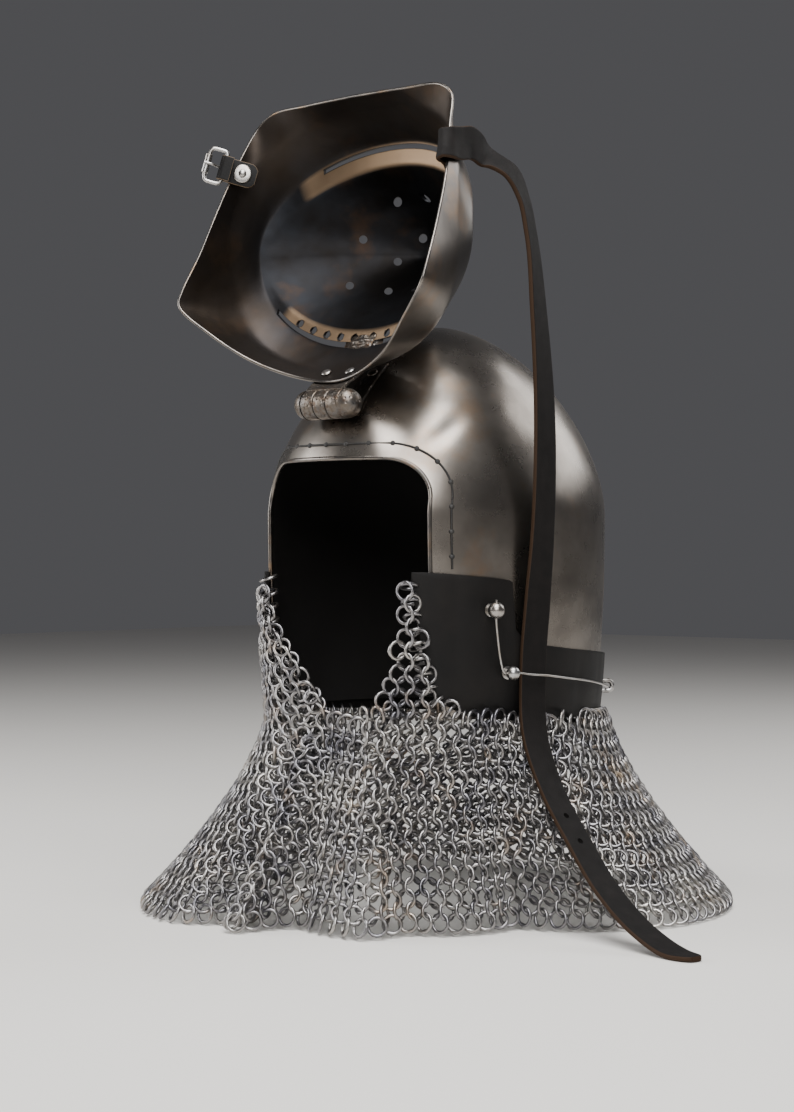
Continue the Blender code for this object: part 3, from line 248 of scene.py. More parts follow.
class Finishes:
    """Every finish on the helmet, built once."""

    def __init__(self) -> None:
        """Builds the materials, each named for what the real surface is."""
        # Mild steel plate, planished and brushed: a satin shine, faint dents and warm brown patches of
        # painted reflection
        self.skull = Finish(
            "brushed_steel_plate", Tone.STEEL, Tone.STEEL_MID, Tone.STEEL_WARM_REFLECTION, metallic=1,
            rough=(0.2, 0.36), mottle_mm=60, stain_and_reflection_mm=45, stain_and_reflection_share=0.35, grain_mm=1.3,
            grain_stretch=BRUSHED, grain_depth_mm=0.006, dent_mm=38, dent_depth_mm=0.9,
        ).build()
        # The same plate on the visor's outside, painted a little darker as shade, and duller, with the same
        # patches of painted warm reflection
        self.visor_outer = Finish(
            "brushed_steel_visor", Tone.STEEL_MID, Tone.STEEL_DARK, Tone.STEEL_WARM_REFLECTION, metallic=1,
            rough=(0.24, 0.38), mottle_mm=50, stain_and_reflection_mm=40, stain_and_reflection_share=0.4, grain_mm=1.3,
            grain_stretch=BRUSHED, grain_depth_mm=0.006, dent_mm=34, dent_depth_mm=0.8,
        ).build()
        # Heat-blackened steel inside the visor: near black with a blue sheen and brown patina in patches,
        # with tan painted along the ledges, and faintly on the flange, for the light they catch
        self.visor_inner = Finish(
            "blackened_steel_plate", Tone.BLACKENED_BLUE, Tone.BLACKENED, Tone.PATINA, metallic=1,
            rough=(0.4, 0.58), mottle_mm=70, stain_and_reflection_mm=46, stain_and_reflection_share=0.4, grain_mm=1.2,
            grain_depth_mm=0.03, dent_mm=16, dent_depth_mm=0.5, tone_attribute="ledge", edge=Tone.LEDGE_TAN,
        ).build()
        # The skull's inside, near black: deep and dull, so the opening reads as dark
        self.skull_inner = Finish(
            "near_black_steel_inside", Tone.BLACKENED, Tone.BLACKENED, Tone.FORGED_RUST, metallic=0.4,
            rough=(0.55, 0.75), mottle_mm=40, stain_and_reflection_mm=30, stain_and_reflection_share=0.1, grain_mm=1.5,
        ).build()
        # The plate's filed edges, rubbed bright: a thin light line round each opening, with patches of
        # painted warm reflection
        self.edge = Finish(
            "filed_steel_edge", Tone.STEEL_MID, Tone.STEEL_DARK, Tone.STEEL_WARM_REFLECTION, metallic=1,
            rough=(0.22, 0.36), mottle_mm=12, stain_and_reflection_mm=18, stain_and_reflection_share=0.4, grain_mm=0.7,
        ).build()
        # Forged hinge steel: small glints round dark pits, with brown in them
        self.forged = Finish(
            "pitted_forged_steel", Tone.FORGED, Tone.STEEL_DARK, Tone.FORGED_RUST, metallic=1,
            rough=(0.3, 0.5), mottle_mm=5, stain_and_reflection_mm=4, stain_and_reflection_share=0.5, grain_mm=0.8, grain_depth_mm=0.05,
            dent_mm=6, dent_depth_mm=0.3, pit_mm=2.2, pit_depth_mm=0.3,
        ).build()
        # Nickel-plated studs, buckle and wire: the brightest points, slightly clouded by use
        self.nickel = Finish(
            "nickel_plate", Tone.NICKEL, Tone.STEEL, Tone.STEEL_DARK, metallic=1, rough=(0.24, 0.38),
            mottle_mm=8, stain_and_reflection_mm=6, stain_and_reflection_share=0.25, grain_mm=0.8, grain_depth_mm=0.01,
        ).build()
        # Oiled steel wire rings: each ring has its own grey, so the mail sparkles unevenly
        self.ring = Finish(
            "oiled_steel_rings", Tone.RING, Tone.RING_DARK, Tone.RING_WARM, metallic=1, rough=(0.24, 0.4),
            mottle_mm=30, stain_and_reflection_mm=24, stain_and_reflection_share=0.35, grain_mm=0.7, tone_attribute="shade",
            edge=Tone.RING_DARK,
        ).build()
        # Vegetable-tanned hide, dyed black: matte with a fine grain, browner where it is rubbed
        self.hide = Finish(
            "black_dyed_hide", Tone.HIDE, Tone.HIDE_WORN, Tone.HIDE, metallic=0, rough=(0.48, 0.66),
            mottle_mm=35, stain_and_reflection_mm=14, stain_and_reflection_share=0.2, grain_mm=1.1, grain_depth_mm=0.09, dent_mm=24,
            dent_depth_mm=0.3, tone_attribute="raw", edge=Tone.FLESH_SIDE, specular=0.2,
        ).build()
        # The strap's split hide: a black suede face and brown cut edges
        self.strap = Finish(
            "split_hide_strap", Tone.STRAP, Tone.STRAP_WORN, Tone.STRAP, metallic=0, rough=(0.62, 0.85),
            mottle_mm=9, stain_and_reflection_mm=7, stain_and_reflection_share=0.3, grain_mm=0.8, grain_depth_mm=0.12, dent_mm=18,
            dent_depth_mm=0.3, tone_attribute="raw", edge=Tone.RAW_EDGE, specular=0.15,
        ).build()
        # Waxed linen thread: a dull dark line on the bright steel
        self.thread = Finish(
            "waxed_thread", Tone.THREAD, Tone.HIDE, Tone.THREAD, metallic=0, rough=(0.5, 0.7), mottle_mm=4,
            stain_and_reflection_mm=3, stain_and_reflection_share=0.2, grain_mm=0.5, grain_depth_mm=0.1,
        ).build()
        # The studio's matte pale floor: even, so that only the shadows show on it
        self.floor = Finish(
            "pale_floor", Tone.FLOOR, Tone.FLOOR, Tone.FLOOR, metallic=0, rough=(0.7, 0.8), mottle_mm=200,
            stain_and_reflection_mm=150, stain_and_reflection_share=0.1, grain_mm=3,
        ).build()


def meshed(name: str, points: Array, corners: Array, sizes: Array, materials: Sequence) -> bpy.types.Object:
    """Makes a smooth mesh object from flat lists.

    Args:
        name: The piece's name.
        points: The places.
        corners: The faces' point numbers, one face after the other.
        sizes: How many corners each face has.
        materials: The finishes, in slot order.

    Returns:
        The object.
    """
    mesh = bpy.data.meshes.new(name)
    mesh.vertices.add(len(points))
    mesh.vertices.foreach_set("co", points.astype(np.float32).ravel())
    mesh.loops.add(len(corners))
    mesh.loops.foreach_set("vertex_index", corners.astype(np.int32))
    mesh.polygons.add(len(sizes))
    mesh.polygons.foreach_set("loop_start", (np.cumsum(sizes) - sizes).astype(np.int32))
    mesh.update(calc_edges=True)
    mesh.shade_smooth()
    for material in materials:
        mesh.materials.append(material)
    made = bpy.data.objects.new(name, mesh)
    bpy.context.scene.collection.objects.link(made)
    return made


def listed(items: bpy.types.bpy_prop_collection, key: str, kind: type, width: int = 1) -> Array:
    """One value, or width values, from every item of a mesh's own list."""
    values = np.empty(len(items) * width, kind)
    items.foreach_get(key, values)
    return values


def surface(
    name: str, points: Array, around: bool = False, tip: bool = False, materials: Sequence = ()
) -> bpy.types.Object:
    """Makes a grid of points a smooth mesh object.

    Args:
        name: The piece's name.
        points: Places on a grid, rows by columns by three.
        around: Whether the last column joins the first.
        tip: Whether the last row closes to its own middle.
        materials: The finishes, in slot order.

    Returns:
        The object. Its faces point away from its middle, by the sum of area times outward reach.
    """
    rows, columns = points.shape[:2]
    ahead = np.roll(points, -1, 1) if around else points[:, 1:]
    here = points if around else points[:, :-1]
    sides = np.cross(ahead[:-1] - here[:-1], here[1:] - here[:-1])
    if ((here[:-1] + ahead[1:]) / 2 - points.mean((0, 1))).reshape(-1, 3).ravel() @ sides.ravel() < 0:
        points = points[:, ::-1]
    index = np.arange(rows * columns).reshape(rows, columns)
    if around:
        index = np.concatenate([index, index[:, :1]], 1)
    corners = np.stack([index[:-1, :-1], index[:-1, 1:], index[1:, 1:], index[1:, :-1]], -1).ravel()
    sizes = np.full(len(corners) // 4, 4)
    flat = points.reshape(-1, 3)
    if tip:
        ring = index[-1]
        flat = np.concatenate([flat, points[-1].mean(0, keepdims=True)])
        fan = np.stack([ring[:-1], ring[1:], np.full(len(ring) - 1, rows * columns)], -1)
        corners = np.concatenate([corners, fan.ravel()])
        sizes = np.concatenate([sizes, np.full(len(fan), 3)])
    return meshed(name, flat, corners, sizes, materials)


def walled(piece: bpy.types.Object, thickness: float, offset: float, inner: int = 0, rim: int = 0) -> None:
    """Gives a surface a wall, with its inner and rim faces in their own material slots.

    Args:
        piece: The surface.
        thickness: The wall's thickness.
        offset: -1 to grow inwards, 1 outwards, 0 both ways.
        inner: Slots further on for the inner face.
        rim: Slots further on for the rim.
    """
    wall = piece.modifiers.new("wall", "SOLIDIFY")
    wall.thickness = thickness
    wall.offset = offset
    wall.use_even_offset = True
    wall.use_quality_normals = True
    wall.material_offset = inner
    wall.material_offset_rim = rim


def rounded(piece: bpy.types.Object, width: float, segments: int = 2) -> None:
    """Rounds a piece's sharp edges by a bevel of the given width."""
    bevel = piece.modifiers.new("rounding", "BEVEL")
    bevel.width = width
    bevel.segments = segments
    bevel.limit_method = "ANGLE"
    bevel.angle_limit = math.radians(50)


def settle(piece: bpy.types.Object, sharp_deg: float = SHARP_DEG) -> None:
    """Makes a piece's modifiers real and marks the edges that turn by more than sharp_deg as sharp."""
    graph = bpy.context.evaluated_depsgraph_get()
    mesh = bpy.data.meshes.new_from_object(piece.evaluated_get(graph))
    old = piece.data
    piece.modifiers.clear()
    piece.data = mesh
    bpy.data.meshes.remove(old)
    mesh.shade_smooth()
    mesh.set_sharp_from_angle(angle=math.radians(sharp_deg))


def placed(piece: bpy.types.Object, slot: str, *nodes: str) -> bpy.types.Object:
    """Puts a piece on the one body and hides the CAD nodes that it stands for.

    Args:
        piece: The new piece.
        slot: The record's material slot; not used.
        *nodes: The CAD nodes that it replaces.

    Returns:
        The piece.
    """
    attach(piece, "root")
    if nodes:
        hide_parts(*nodes)
    LOG.info("%s: %d faces", piece.name, len(piece.data.polygons))
    return piece


def joined(name: str, parts: Sequence[bpy.types.Object]) -> bpy.types.Object:
    """Makes several settled meshes one piece, by stacking their points, faces and materials."""
    points, corners, sizes, kinds, materials = [], [], [], [], []
    start = 0
    for part in parts:
        mesh = part.data
        spots = listed(mesh.vertices, "co", np.float32, 3).reshape(-1, 3)
        slots = list(mesh.materials)
        materials += [m for m in slots if m not in materials]
        order = np.array([materials.index(m) for m in slots])
        points.append(spots)
        corners.append(start + listed(mesh.loops, "vertex_index", np.int32))
        sizes.append(listed(mesh.polygons, "loop_total", np.int32))
        kinds.append(order[listed(mesh.polygons, "material_index", np.int32)])
        start += len(spots)
        bpy.data.objects.remove(part, do_unlink=True)
    stacks = [np.concatenate(stack) for stack in (points, corners, sizes)]
    made = meshed(name, *stacks, materials)
    made.data.polygons.foreach_set("material_index", np.concatenate(kinds).astype(np.int32))
    made.data.set_sharp_from_angle(angle=math.radians(SHARP_DEG))
    return made


def unit(vectors: Array) -> Array:
    """Vectors scaled to length one."""
    return vectors / np.linalg.norm(vectors, axis=-1, keepdims=True)


def walked(path: Array) -> Array:
    """The way walked along a path, up to each of its points."""
    return np.concatenate([[0], np.cumsum(np.linalg.norm(np.diff(path, axis=0), axis=1))])


def read_at(at: float | Array, knots: Array, rows: Array) -> Array:
    """The rows' values read straight between their knots."""
    return np.stack([np.interp(at, knots, column) for column in rows.T], -1)


def smooth_at(knots: Array, values: Array, at: Array) -> Array:
    """A smooth curve through values at knots: cubic between knots, with the values' own slopes.

    Args:
        knots: Rising parameters.
        values: A value or a row of values for each knot.
        at: Where to read the curve.

    Returns:
        The curve's values.
    """
    knots = np.asarray(knots, float)
    values = np.asarray(values, float)
    at = np.clip(np.atleast_1d(at), knots[0], knots[-1])
    slopes = np.gradient(values, knots, axis=0)
    low = np.clip(np.searchsorted(knots, at) - 1, 0, len(knots) - 2)
    span = knots[low + 1] - knots[low]
    t = (at - knots[low]) / span
    if values.ndim == 2:
        t = t[:, None]
        span = span[:, None]
    rise = t * t * (3 - 2 * t)
    start = values[low] * (1 - rise) + slopes[low] * span * t * (1 - t) ** 2
    return start + values[low + 1] * rise - slopes[low + 1] * span * t * t * (1 - t)


def lathe(
    name: str, profile: Sequence, centre: Array, direction: Array, materials: Sequence, sides: int = 40
) -> bpy.types.Object:
    """A solid of revolution: radius and height rows carried round a direction from a centre.

    Args:
        name: The piece's name.
        profile: Rows of radius and height, from the bottom to the top.
        centre: The place of height 0.
        direction: The axis.
        materials: The finishes.
        sides: Points round the axis.

    Returns:
        The object.
    """
    axis = unit(np.asarray(direction, float))
    aside = unit(np.cross(axis, (0.0, 0.0, 1.0) if abs(axis[2]) < 0.9 else (1.0, 0.0, 0.0)))
    other = np.cross(axis, aside)
    turns = np.linspace(0, 2 * math.pi, sides, endpoint=False)
    rows = np.asarray(profile, float)
    radial = aside * np.cos(turns)[:, None] + other * np.sin(turns)[:, None]
    points = np.asarray(centre) + rows[:, 0, None, None] * radial + rows[:, 1, None, None] * axis
    made = surface(name, points, around=True, materials=materials)
    weld(made)
    return made


def weld(piece: bpy.types.Object) -> None:
    """Merges a lathe's poles into single points and marks its sharp turns."""
    merge = piece.modifiers.new("poles", "WELD")
    merge.merge_threshold = 0.002 * MM
    settle(piece, 40)


def tube(
    name: str,
    path: Array,
    radius: float | Array,
    materials: Sequence,
    sides: int = 12,
    closed: bool = False,
) -> bpy.types.Object:
    """A round wire: a circle carried along a path on frames that turn as little as they can.

    Args:
        name: The piece's name.
        path: The middle line.
        radius: One radius, or one for each point.
        materials: The finishes.
        sides: Points round the wire.
        closed: Whether the path joins up.

    Returns:
        The object, its ends closed by a point in the middle.
    """
    path = np.asarray(path, float)
    if closed:
        path = np.concatenate([path, path[:1]])
    along = unit(np.gradient(path, axis=0))
    if closed:
        along[0] = along[-1] = unit(path[1] - path[-2])
    side = unit(np.cross(along, unit(along.mean(0) + (0.31, 0.17, 0.93))))
    flip = np.cumprod(np.where((side[1:] * side[:-1]).sum(1) < 0, -1, 1))
    side[1:] *= flip[:, None]
    up = np.cross(along, side)
    turns = np.linspace(0, 2 * math.pi, sides, endpoint=False)
    radii = np.broadcast_to(radius, len(path))[:, None, None]
    rim = side[:, None] * np.cos(turns)[:, None] + up[:, None] * np.sin(turns)[:, None]
    points = path[:, None] + radii * rim
    if not closed:
        ends = [np.broadcast_to(path[i], points[0].shape) for i in (0, -1)]
        points = np.concatenate([ends[:1], points, ends[1:]])
    made = surface(name, points, around=True, materials=materials)
    weld(made)
    return made


def strip(
    name: str, middle: Array, across: Array, width: Array, thickness: float, materials: Sequence
) -> bpy.types.Object:
    """A flat strip with rounded edges, with raw set to 1 on its edges and to 0 on its two faces.

    The section is a rounded rectangle of 25 points, carried along the middle line.

    Args:
        name: The piece's name.
        middle: The middle line.
        across: The direction of the width at each point.
        width: The width at each point.
        thickness: The thickness.
        materials: The finishes.

    Returns:
        The object.
    """
    along = unit(np.gradient(middle, axis=0))
    across = unit(across - along * (across * along).sum(1, keepdims=True))
    up = np.cross(along, across)
    round_by = 0.3 * thickness
    arc = np.linspace(0, 0.5 * math.pi, 5)
    corner = np.stack([np.cos(arc), np.sin(arc)], -1) * round_by
    half = width / 2 - round_by
    lift = thickness / 2 - round_by
    rows = []
    raw = []
    for sign_x, sign_y, order in ((1, -1, -1), (1, 1, 1), (-1, 1, -1), (-1, -1, 1)):
        for x, y in corner[::order]:
            rows.append(((half + x) * sign_x, (lift + y) * sign_y))
            raw.append(1.0 if x > 0.45 * round_by else 0.0)
        # More points across the upper face
        for share in np.linspace(0.92, -0.92, 5) if (sign_x, sign_y) == (1, 1) else ():
            rows.append((half * share, thickness / 2))
            raw.append(0.0)
    points = np.stack([middle + across * x[:, None] + up * y for x, y in rows], 1)
    nib = 0.1 * thickness
    first, last = points[0] - along[0] * nib, points[-1] + along[-1] * nib
    ends = [np.stack([np.broadcast_to(row.mean(0), row.shape), row]) for row in (first, last)]
    points = np.concatenate([ends[0], points, ends[1][::-1]])
    made = surface(name, points, around=True, materials=materials)
    told = made.data.attributes.new("raw", "FLOAT", "POINT")
    raw_rows = np.tile(np.array(raw), (len(points), 1))
    raw_rows[[0, 1, -1, -2]] = 1
    told.data.foreach_set("value", raw_rows.ravel().astype(np.float32))
    weld(made)
    return made


def dome(radius: float, height: float, base: float = 0.0) -> list[tuple[float, float]]:
    """The profile of a low rivet head: a rounded skirt, then a quarter ellipse up to its middle."""
    turns = np.linspace(0, 0.5 * math.pi, 9)
    rise = [(radius * math.cos(t), base + height * (0.15 + 0.85 * math.sin(t))) for t in turns]
    return [(0, base), (0.97 * radius, base), *rise]


@dataclass
class SkullForm:
    """The skull's shape: level ellipses under a superellipse dome, over a slight taper."""

    half_width: float = 103 * MM
    half_depth: float = 124 * MM
    widest_z: float = 256 * MM
    dome_height: float = 125 * MM
    edge_z: float = 128 * MM
    taper: float = 0.055
    power: float = 1.72
    wall: float = 2 * MM

    def scale(self, z: Array) -> Array:
        """Share of the widest half sizes at a height: (1 - up^p)^(1/p) above, less taper * down^2 below."""
        up = np.clip((z - self.widest_z) / self.dome_height, 0, 1)
        down = np.clip((self.widest_z - z) / (self.widest_z - self.edge_z), 0, None)
        return (1 - up**self.power) ** (1 / self.power) - self.taper * down**2

    def point(self, angle: Array, z: Array, out: float | Array = 0.0) -> Array:
        """A place level out from the outer face, at an angle from the front to the wearer's left."""
        scale = self.scale(z)
        x = (self.half_width * scale + out) * np.sin(angle)
        y = -(self.half_depth * scale + out) * np.cos(angle)
        return np.stack(np.broadcast_arrays(x, y, z), -1)

    def off(self, angle: Array, z: Array, out: float) -> Array:
        """A place at a true distance from the outer face, along its normal (turn cross rise)."""
        turn = self.point(angle + 0.002, z) - self.point(angle - 0.002, z)
        rise = self.point(angle, z + 0.1 * MM) - self.point(angle, z - 0.1 * MM)
        return self.point(angle, z) + out * unit(np.cross(turn, rise))

    def outward(self, angle: float, z: float) -> Array:
        """The level direction straight out of the skull."""
        scale = self.scale(z)
        across = math.sin(angle) / (self.half_width * scale)
        ahead = -math.cos(angle) / (self.half_depth * scale)
        return unit(np.array((across, ahead, 0)))

    def angle_at(self, x: Array, z: Array) -> Array:
        """The angle at which the outer face is x to the side, at a height."""
        return np.arcsin(np.clip(x / (self.half_width * self.scale(z)), -1, 1))


@dataclass
class Skull:
    """The skull with its face opening, rolled rim and stitched lining line."""

    form: SkullForm
    finishes: Finishes
    face_half_width: float = 68 * MM
    face_top_z: float = 290 * MM
    face_corner: float = 27 * MM
    rim_radius: float = 1.5 * MM
    stitch_set_back: float = 8.6 * MM
    stitch_pitch: float = 15.2 * MM
    stitch_low_z: float = 221 * MM
    thread_radius: float = 0.7 * MM
    knot_radius: float = 1.7 * MM
    knot_height: float = 0.9 * MM
    knock_angle_deg: float = 46
    knock_z: float = 306 * MM
    knock_depth: float = 1.1 * MM

    def outline(self, grow: float, low: float, steps: int = 26) -> Array:
        """The opening's outline from the front, grown outwards: upright sides, arcs, a level top.

        Args:
            grow: How far outside the opening.
            low: Where the sides start.
            steps: Points on each corner.

        Returns:
            Rows of side and height, from the wearer's left to the right.
        """
        arc = np.linspace(0, 0.5 * math.pi, steps)
        corner = self.face_corner + grow
        x = self.face_half_width - self.face_corner + corner * np.cos(arc)
        z = self.face_top_z - self.face_corner + corner * np.sin(arc)
        sides = np.linspace(low, z[0], 40, endpoint=False)
        top = np.linspace(x[-1], 0, 16)[1:]
        x = np.concatenate([np.full(40, x[0]), x, top])
        z = np.concatenate([sides, z, np.full(15, z[-1])])
        return np.stack([np.concatenate([x, -x[-2::-1]]), np.concatenate([z, z[-2::-1]])], -1)

    def build(self) -> None:
        """Builds the shell, its rim and its stitches."""
        self._shell()
        self._rim()
        self._stitches()

    def _shell(self) -> None:
        """The dome: angle by height on the skull's form, walled inwards, with the face cut out."""
        form = self.form
        angles = np.linspace(-math.pi, math.pi, 220, endpoint=False)
        rise = np.linspace(0, 0.5 * math.pi, 64)[:-1]
        dome_z = form.widest_z + form.dome_height * np.sin(rise) ** (2 / form.power)
        skirt = np.linspace(form.edge_z, form.widest_z, 34, endpoint=False)
        z = np.concatenate([skirt, dome_z])[:, None]
        points = form.point(angles[None], z)
        points += self._hammering(angles[None], z)[..., None] * unit(points * (1, 1, 0.6))
        # Slots: outer face, inner face and filled edge
        materials = (self.finishes.skull, self.finishes.skull_inner, self.finishes.edge)
        shell = surface("skull_shell", points, around=True, tip=True, materials=materials)
        walled(shell, form.wall, -1, 1, 2)
        outline = self.outline(0.0, form.edge_z - self.face_corner)
        depth = np.array((-form.half_depth - self.face_corner, -form.half_depth / 3))
        rows = [np.stack([outline[:, 0], np.full(len(outline), y), outline[:, 1]], -1) for y in depth]
        middle = [np.broadcast_to(row.mean(0), row.shape) for row in rows]
        block = np.array([middle[0], *rows, middle[1]])
        cutter = surface("face_cut", block, around=True, materials=(self.finishes.edge,))
        weld(cutter)
        opening = shell.modifiers.new("opening", "BOOLEAN")
        opening.object = cutter
        opening.material_mode = "TRANSFER"
        settle(shell)
        bpy.data.objects.remove(cutter, do_unlink=True)
        placed(shell, "brushed_steel", "skull")

    def _hammering(self, angle: Array, z: Array) -> Array:
        """The soft unevenness of a raised dome: low waves of angle and height, about 0.25 mm.

        A crease 0.8 mm high also runs from each upper corner of the face opening towards the crown, and
        one sharper knock lies slantwise above the left corner.
        """
        wave = np.sin(5 * angle + 38 * z) * np.sin(61 * z + 2.1) + 0.6 * np.sin(9 * angle - 71 * z + 0.7)
        x = self.form.half_width * np.sin(angle)
        up = (z - self.face_top_z + self.face_corner) / MM
        ridge = np.abs(np.abs(x) / MM - 58 + 0.55 * up)
        front = np.clip(np.cos(angle), 0, 1) ** 2 * np.clip(up / 20, 0, 1) * np.clip((75 - up) / 40, 0, 1)
        fade = np.clip((self.form.widest_z + self.form.dome_height - z) / (20 * MM), 0, 1)
        aside = self.form.half_width * (angle - math.radians(self.knock_angle_deg)) / MM
        above = (z - self.knock_z) / MM
        along, across = 0.8 * aside + 0.6 * above, 0.8 * above - 0.6 * aside
        knock = self.knock_depth * np.exp(-((along / 15) ** 2) - (across / 5.5) ** 2)
        return fade * (0.16 * MM * wave + 0.8 * MM * front * np.exp(-((ridge / 9) ** 2))) - knock

    def _on_face(self, outline: Array, out: float) -> Array:
        """An outline's places, at a distance off the skull's outer face."""
        return self.form.off(self.form.angle_at(outline[:, 0], outline[:, 1]), outline[:, 1], out)

    def _rim(self) -> None:
        """The rolled rim: a wire of round section along the opening, at the middle of the wall."""
        path = self._on_face(self.outline(0.0, self.form.edge_z + 2 * MM), -self.form.wall / 2)
        rim = tube("opening_rim", path, self.rim_radius, (self.finishes.edge,), 14)
        placed(rim, "brushed_steel")

    def _stitches(self) -> None:
        """The lining's stitch line: a thread laid on the steel with a knot in each hole, pitch apart."""
        fine = self.outline(self.stitch_set_back, self.stitch_low_z)
        path = self._on_face(fine, 0.25 * MM)
        length = walked(path)
        thread = tube("lining_thread", path, self.thread_radius, (self.finishes.thread,), 8)
        count = int(length[-1] // self.stitch_pitch)
        at = (np.arange(count) + 0.5) * length[-1] / count
        knots = []
        for i, place in enumerate(at):
            spot = read_at(place, length, path)
            normal = self.form.outward(math.atan2(spot[0], -spot[1]), spot[2]) + (0, 0, 0.25)
            profile = dome(self.knot_radius, self.knot_height)
            knots.append(lathe(f"knot_{i}", profile, spot, normal, (self.finishes.thread,), 12))
        placed(joined("lining_stitches", [thread, *knots]), "black_leather")


# The visor's edge, from the brow's middle round to the chin's middle. Columns: turn in degrees, side as
# a share of the half width, forward as a share of the depth, down as a share of the height.
VISOR_RIM = (
    (0, 0.0, 0.033, 0.0),
    (26, 0.5, -0.08, 0.068),
    (47, 0.81, -0.216, 0.18),
    (62, 1.01, -0.29, 0.28),
    (72, 1.02, -0.26, 0.335),
    (86, 0.99, -0.14, 0.47),
    (100, 0.955, -0.014, 0.638),
    (118, 0.88, 0.113, 0.825),
    (132, 0.81, 0.21, 0.945),
    (142, 0.71, 0.23, 0.985),
    (160, 0.4, 0.23, 0.996),
    (180, 0.0, 0.23, 1.0),
)
# The visor's inner rings, from the edge to the snout. Columns: side, then forward at the side, forward
# and down at the top, forward and down at the bottom, all as the shares above, and squareness.
VISOR_RINGS = (
    (0.955, 0.09, 0.165, 0.055, 0.36, 0.965, 2.6),
    (0.9, 0.29, 0.30, 0.123, 0.585, 0.872, 2.1),
    (0.86, 0.33, 0.345, 0.189, 0.575, 0.786, 2.0),
    (0.71, 0.47, 0.47, 0.25, 0.68, 0.74, 2.0),
    (0.49, 0.66, 0.66, 0.33, 0.81, 0.675, 2.0),
    (0.27, 0.84, 0.84, 0.41, 0.92, 0.595, 2.0),
    (0.1, 0.96, 0.96, 0.47, 0.98, 0.53, 2.0),
)
SIGHT_RING = 1
LEDGE_RING = 2
# Breath holes on one flank. Columns: side, forward and down, as the shares above.
BREATH_HOLES = (
    (0.26, 0.93, 0.68),
    (0.48, 0.84, 0.556),
    (0.13, 1.03, 0.556),
    (0.26, 0.93, 0.474),
    (0.51, 0.745, 0.381),
    (0.26, 0.84, 0.353),
)


@dataclass
class VisorForm:
    """The visor's shape, measured forward and down from the hinge pin with the visor shut, then raised."""

    half_width: float = 100 * MM
    depth: float = 106.5 * MM
    top_drop: float = 14.5 * MM
    height: float = 182.5 * MM
    snout_down: float = 0.502
    hinge_forward: float = 110.8 * MM
    hinge_z: float = 324 * MM
    raised_deg: float = 180

    def raised(self, spots: Array) -> Array:
        """Places in the shut visor's frame, turned about the pin to where they stand on the helmet."""
        turn = math.radians(self.raised_deg)
        back = spots[..., 1] * math.cos(turn) - spots[..., 2] * math.sin(turn) - self.hinge_forward
        up = spots[..., 1] * math.sin(turn) + spots[..., 2] * math.cos(turn) + self.hinge_z
        return np.stack([spots[..., 0], back, up], -1)

    def shut(self, side: Array, forward: Array, down: Array) -> Array:
        """A place from its side, its share of the depth and its share of the height."""
        parts = np.broadcast_arrays(side, -self.depth * forward, -self.top_drop - self.height * down)
        return np.stack(parts, -1)

    def ring(self, number: int, turn: Array) -> Array:
        """A ring: a superellipse across, with forward going from its top to its side to its bottom."""
        side, f_side, f_top, d_top, f_low, d_low, power = VISOR_RINGS[number]
        sine, cosine = np.sin(turn), np.cos(turn)
        x = self.half_width * side * np.sign(sine) * np.abs(sine) ** (2 / power)
        down = (d_top + d_low) / 2 - (d_low - d_top) / 2 * np.sign(cosine) * np.abs(cosine) ** (2 / power)
        forward = f_side + (f_top - f_side) * np.clip(cosine, 0, 1) ** 1.6
        forward = forward + (f_low - f_side) * np.clip(-cosine, 0, 1) ** 1.6
        return self.shut(x, forward, down)

    def edge(self, turn: Array) -> Array:
        """The edge: a smooth curve through the rim table and its mirror."""
        table = np.array(VISOR_RIM)
        whole = np.concatenate([table[:0:-1] * (-1, -1, 1, 1), table])
        side, forward, down = smooth_at(whole[:, 0], whole[:, 1:], np.degrees(turn)).T
        return self.shut(self.half_width * side, forward, down)

    def turn_for_side(self, number: int, side: float) -> float:
        """The turn at which a ring's upper half is side from the middle."""
        row = VISOR_RINGS[number]
        return math.asin((side / (self.half_width * row[0])) ** (row[-1] / 2))

    def by_edge(self, turn_deg: float, into: float, out: float, along: float) -> Array:
        """A place by the raised visor's edge, measured into its wall, out from it and along it."""
        turns = np.radians(turn_deg + np.array((-1, 0, 1)))
        edge = self.raised(self.edge(turns))
        course = unit(edge[2] - edge[0])
        inward = self.raised(self.ring(0, turns))[1] - edge[1]
        inward = unit(inward - course * inward.dot(course))
        outward = np.cross(course, inward)
        return edge[1] + inward * into + outward * np.sign(outward[0] * edge[1][0]) * out + course * along

    def plate(self, sides: Array, share: float) -> tuple[Array, Array]:
        """Places and outward directions on the shut visor's brow plate.

        Args:
            sides: Distances from the middle.
            share: Share of the way from the edge to the first ring.

        Returns:
            The places and the unit directions.
        """
        turns = np.linspace(-0.5, 0.5, 101)
        edge, ring = self.edge(turns), self.ring(0, turns)
        line = edge * (1 - share) + ring * share
        slope = np.gradient(line, axis=0)
        places, inward, across = (read_at(sides, line[:, 0], rows) for rows in (line, ring - edge, slope))
        outward = unit(np.cross(inward, across))
        return places, outward * np.sign(outward[..., 2:])


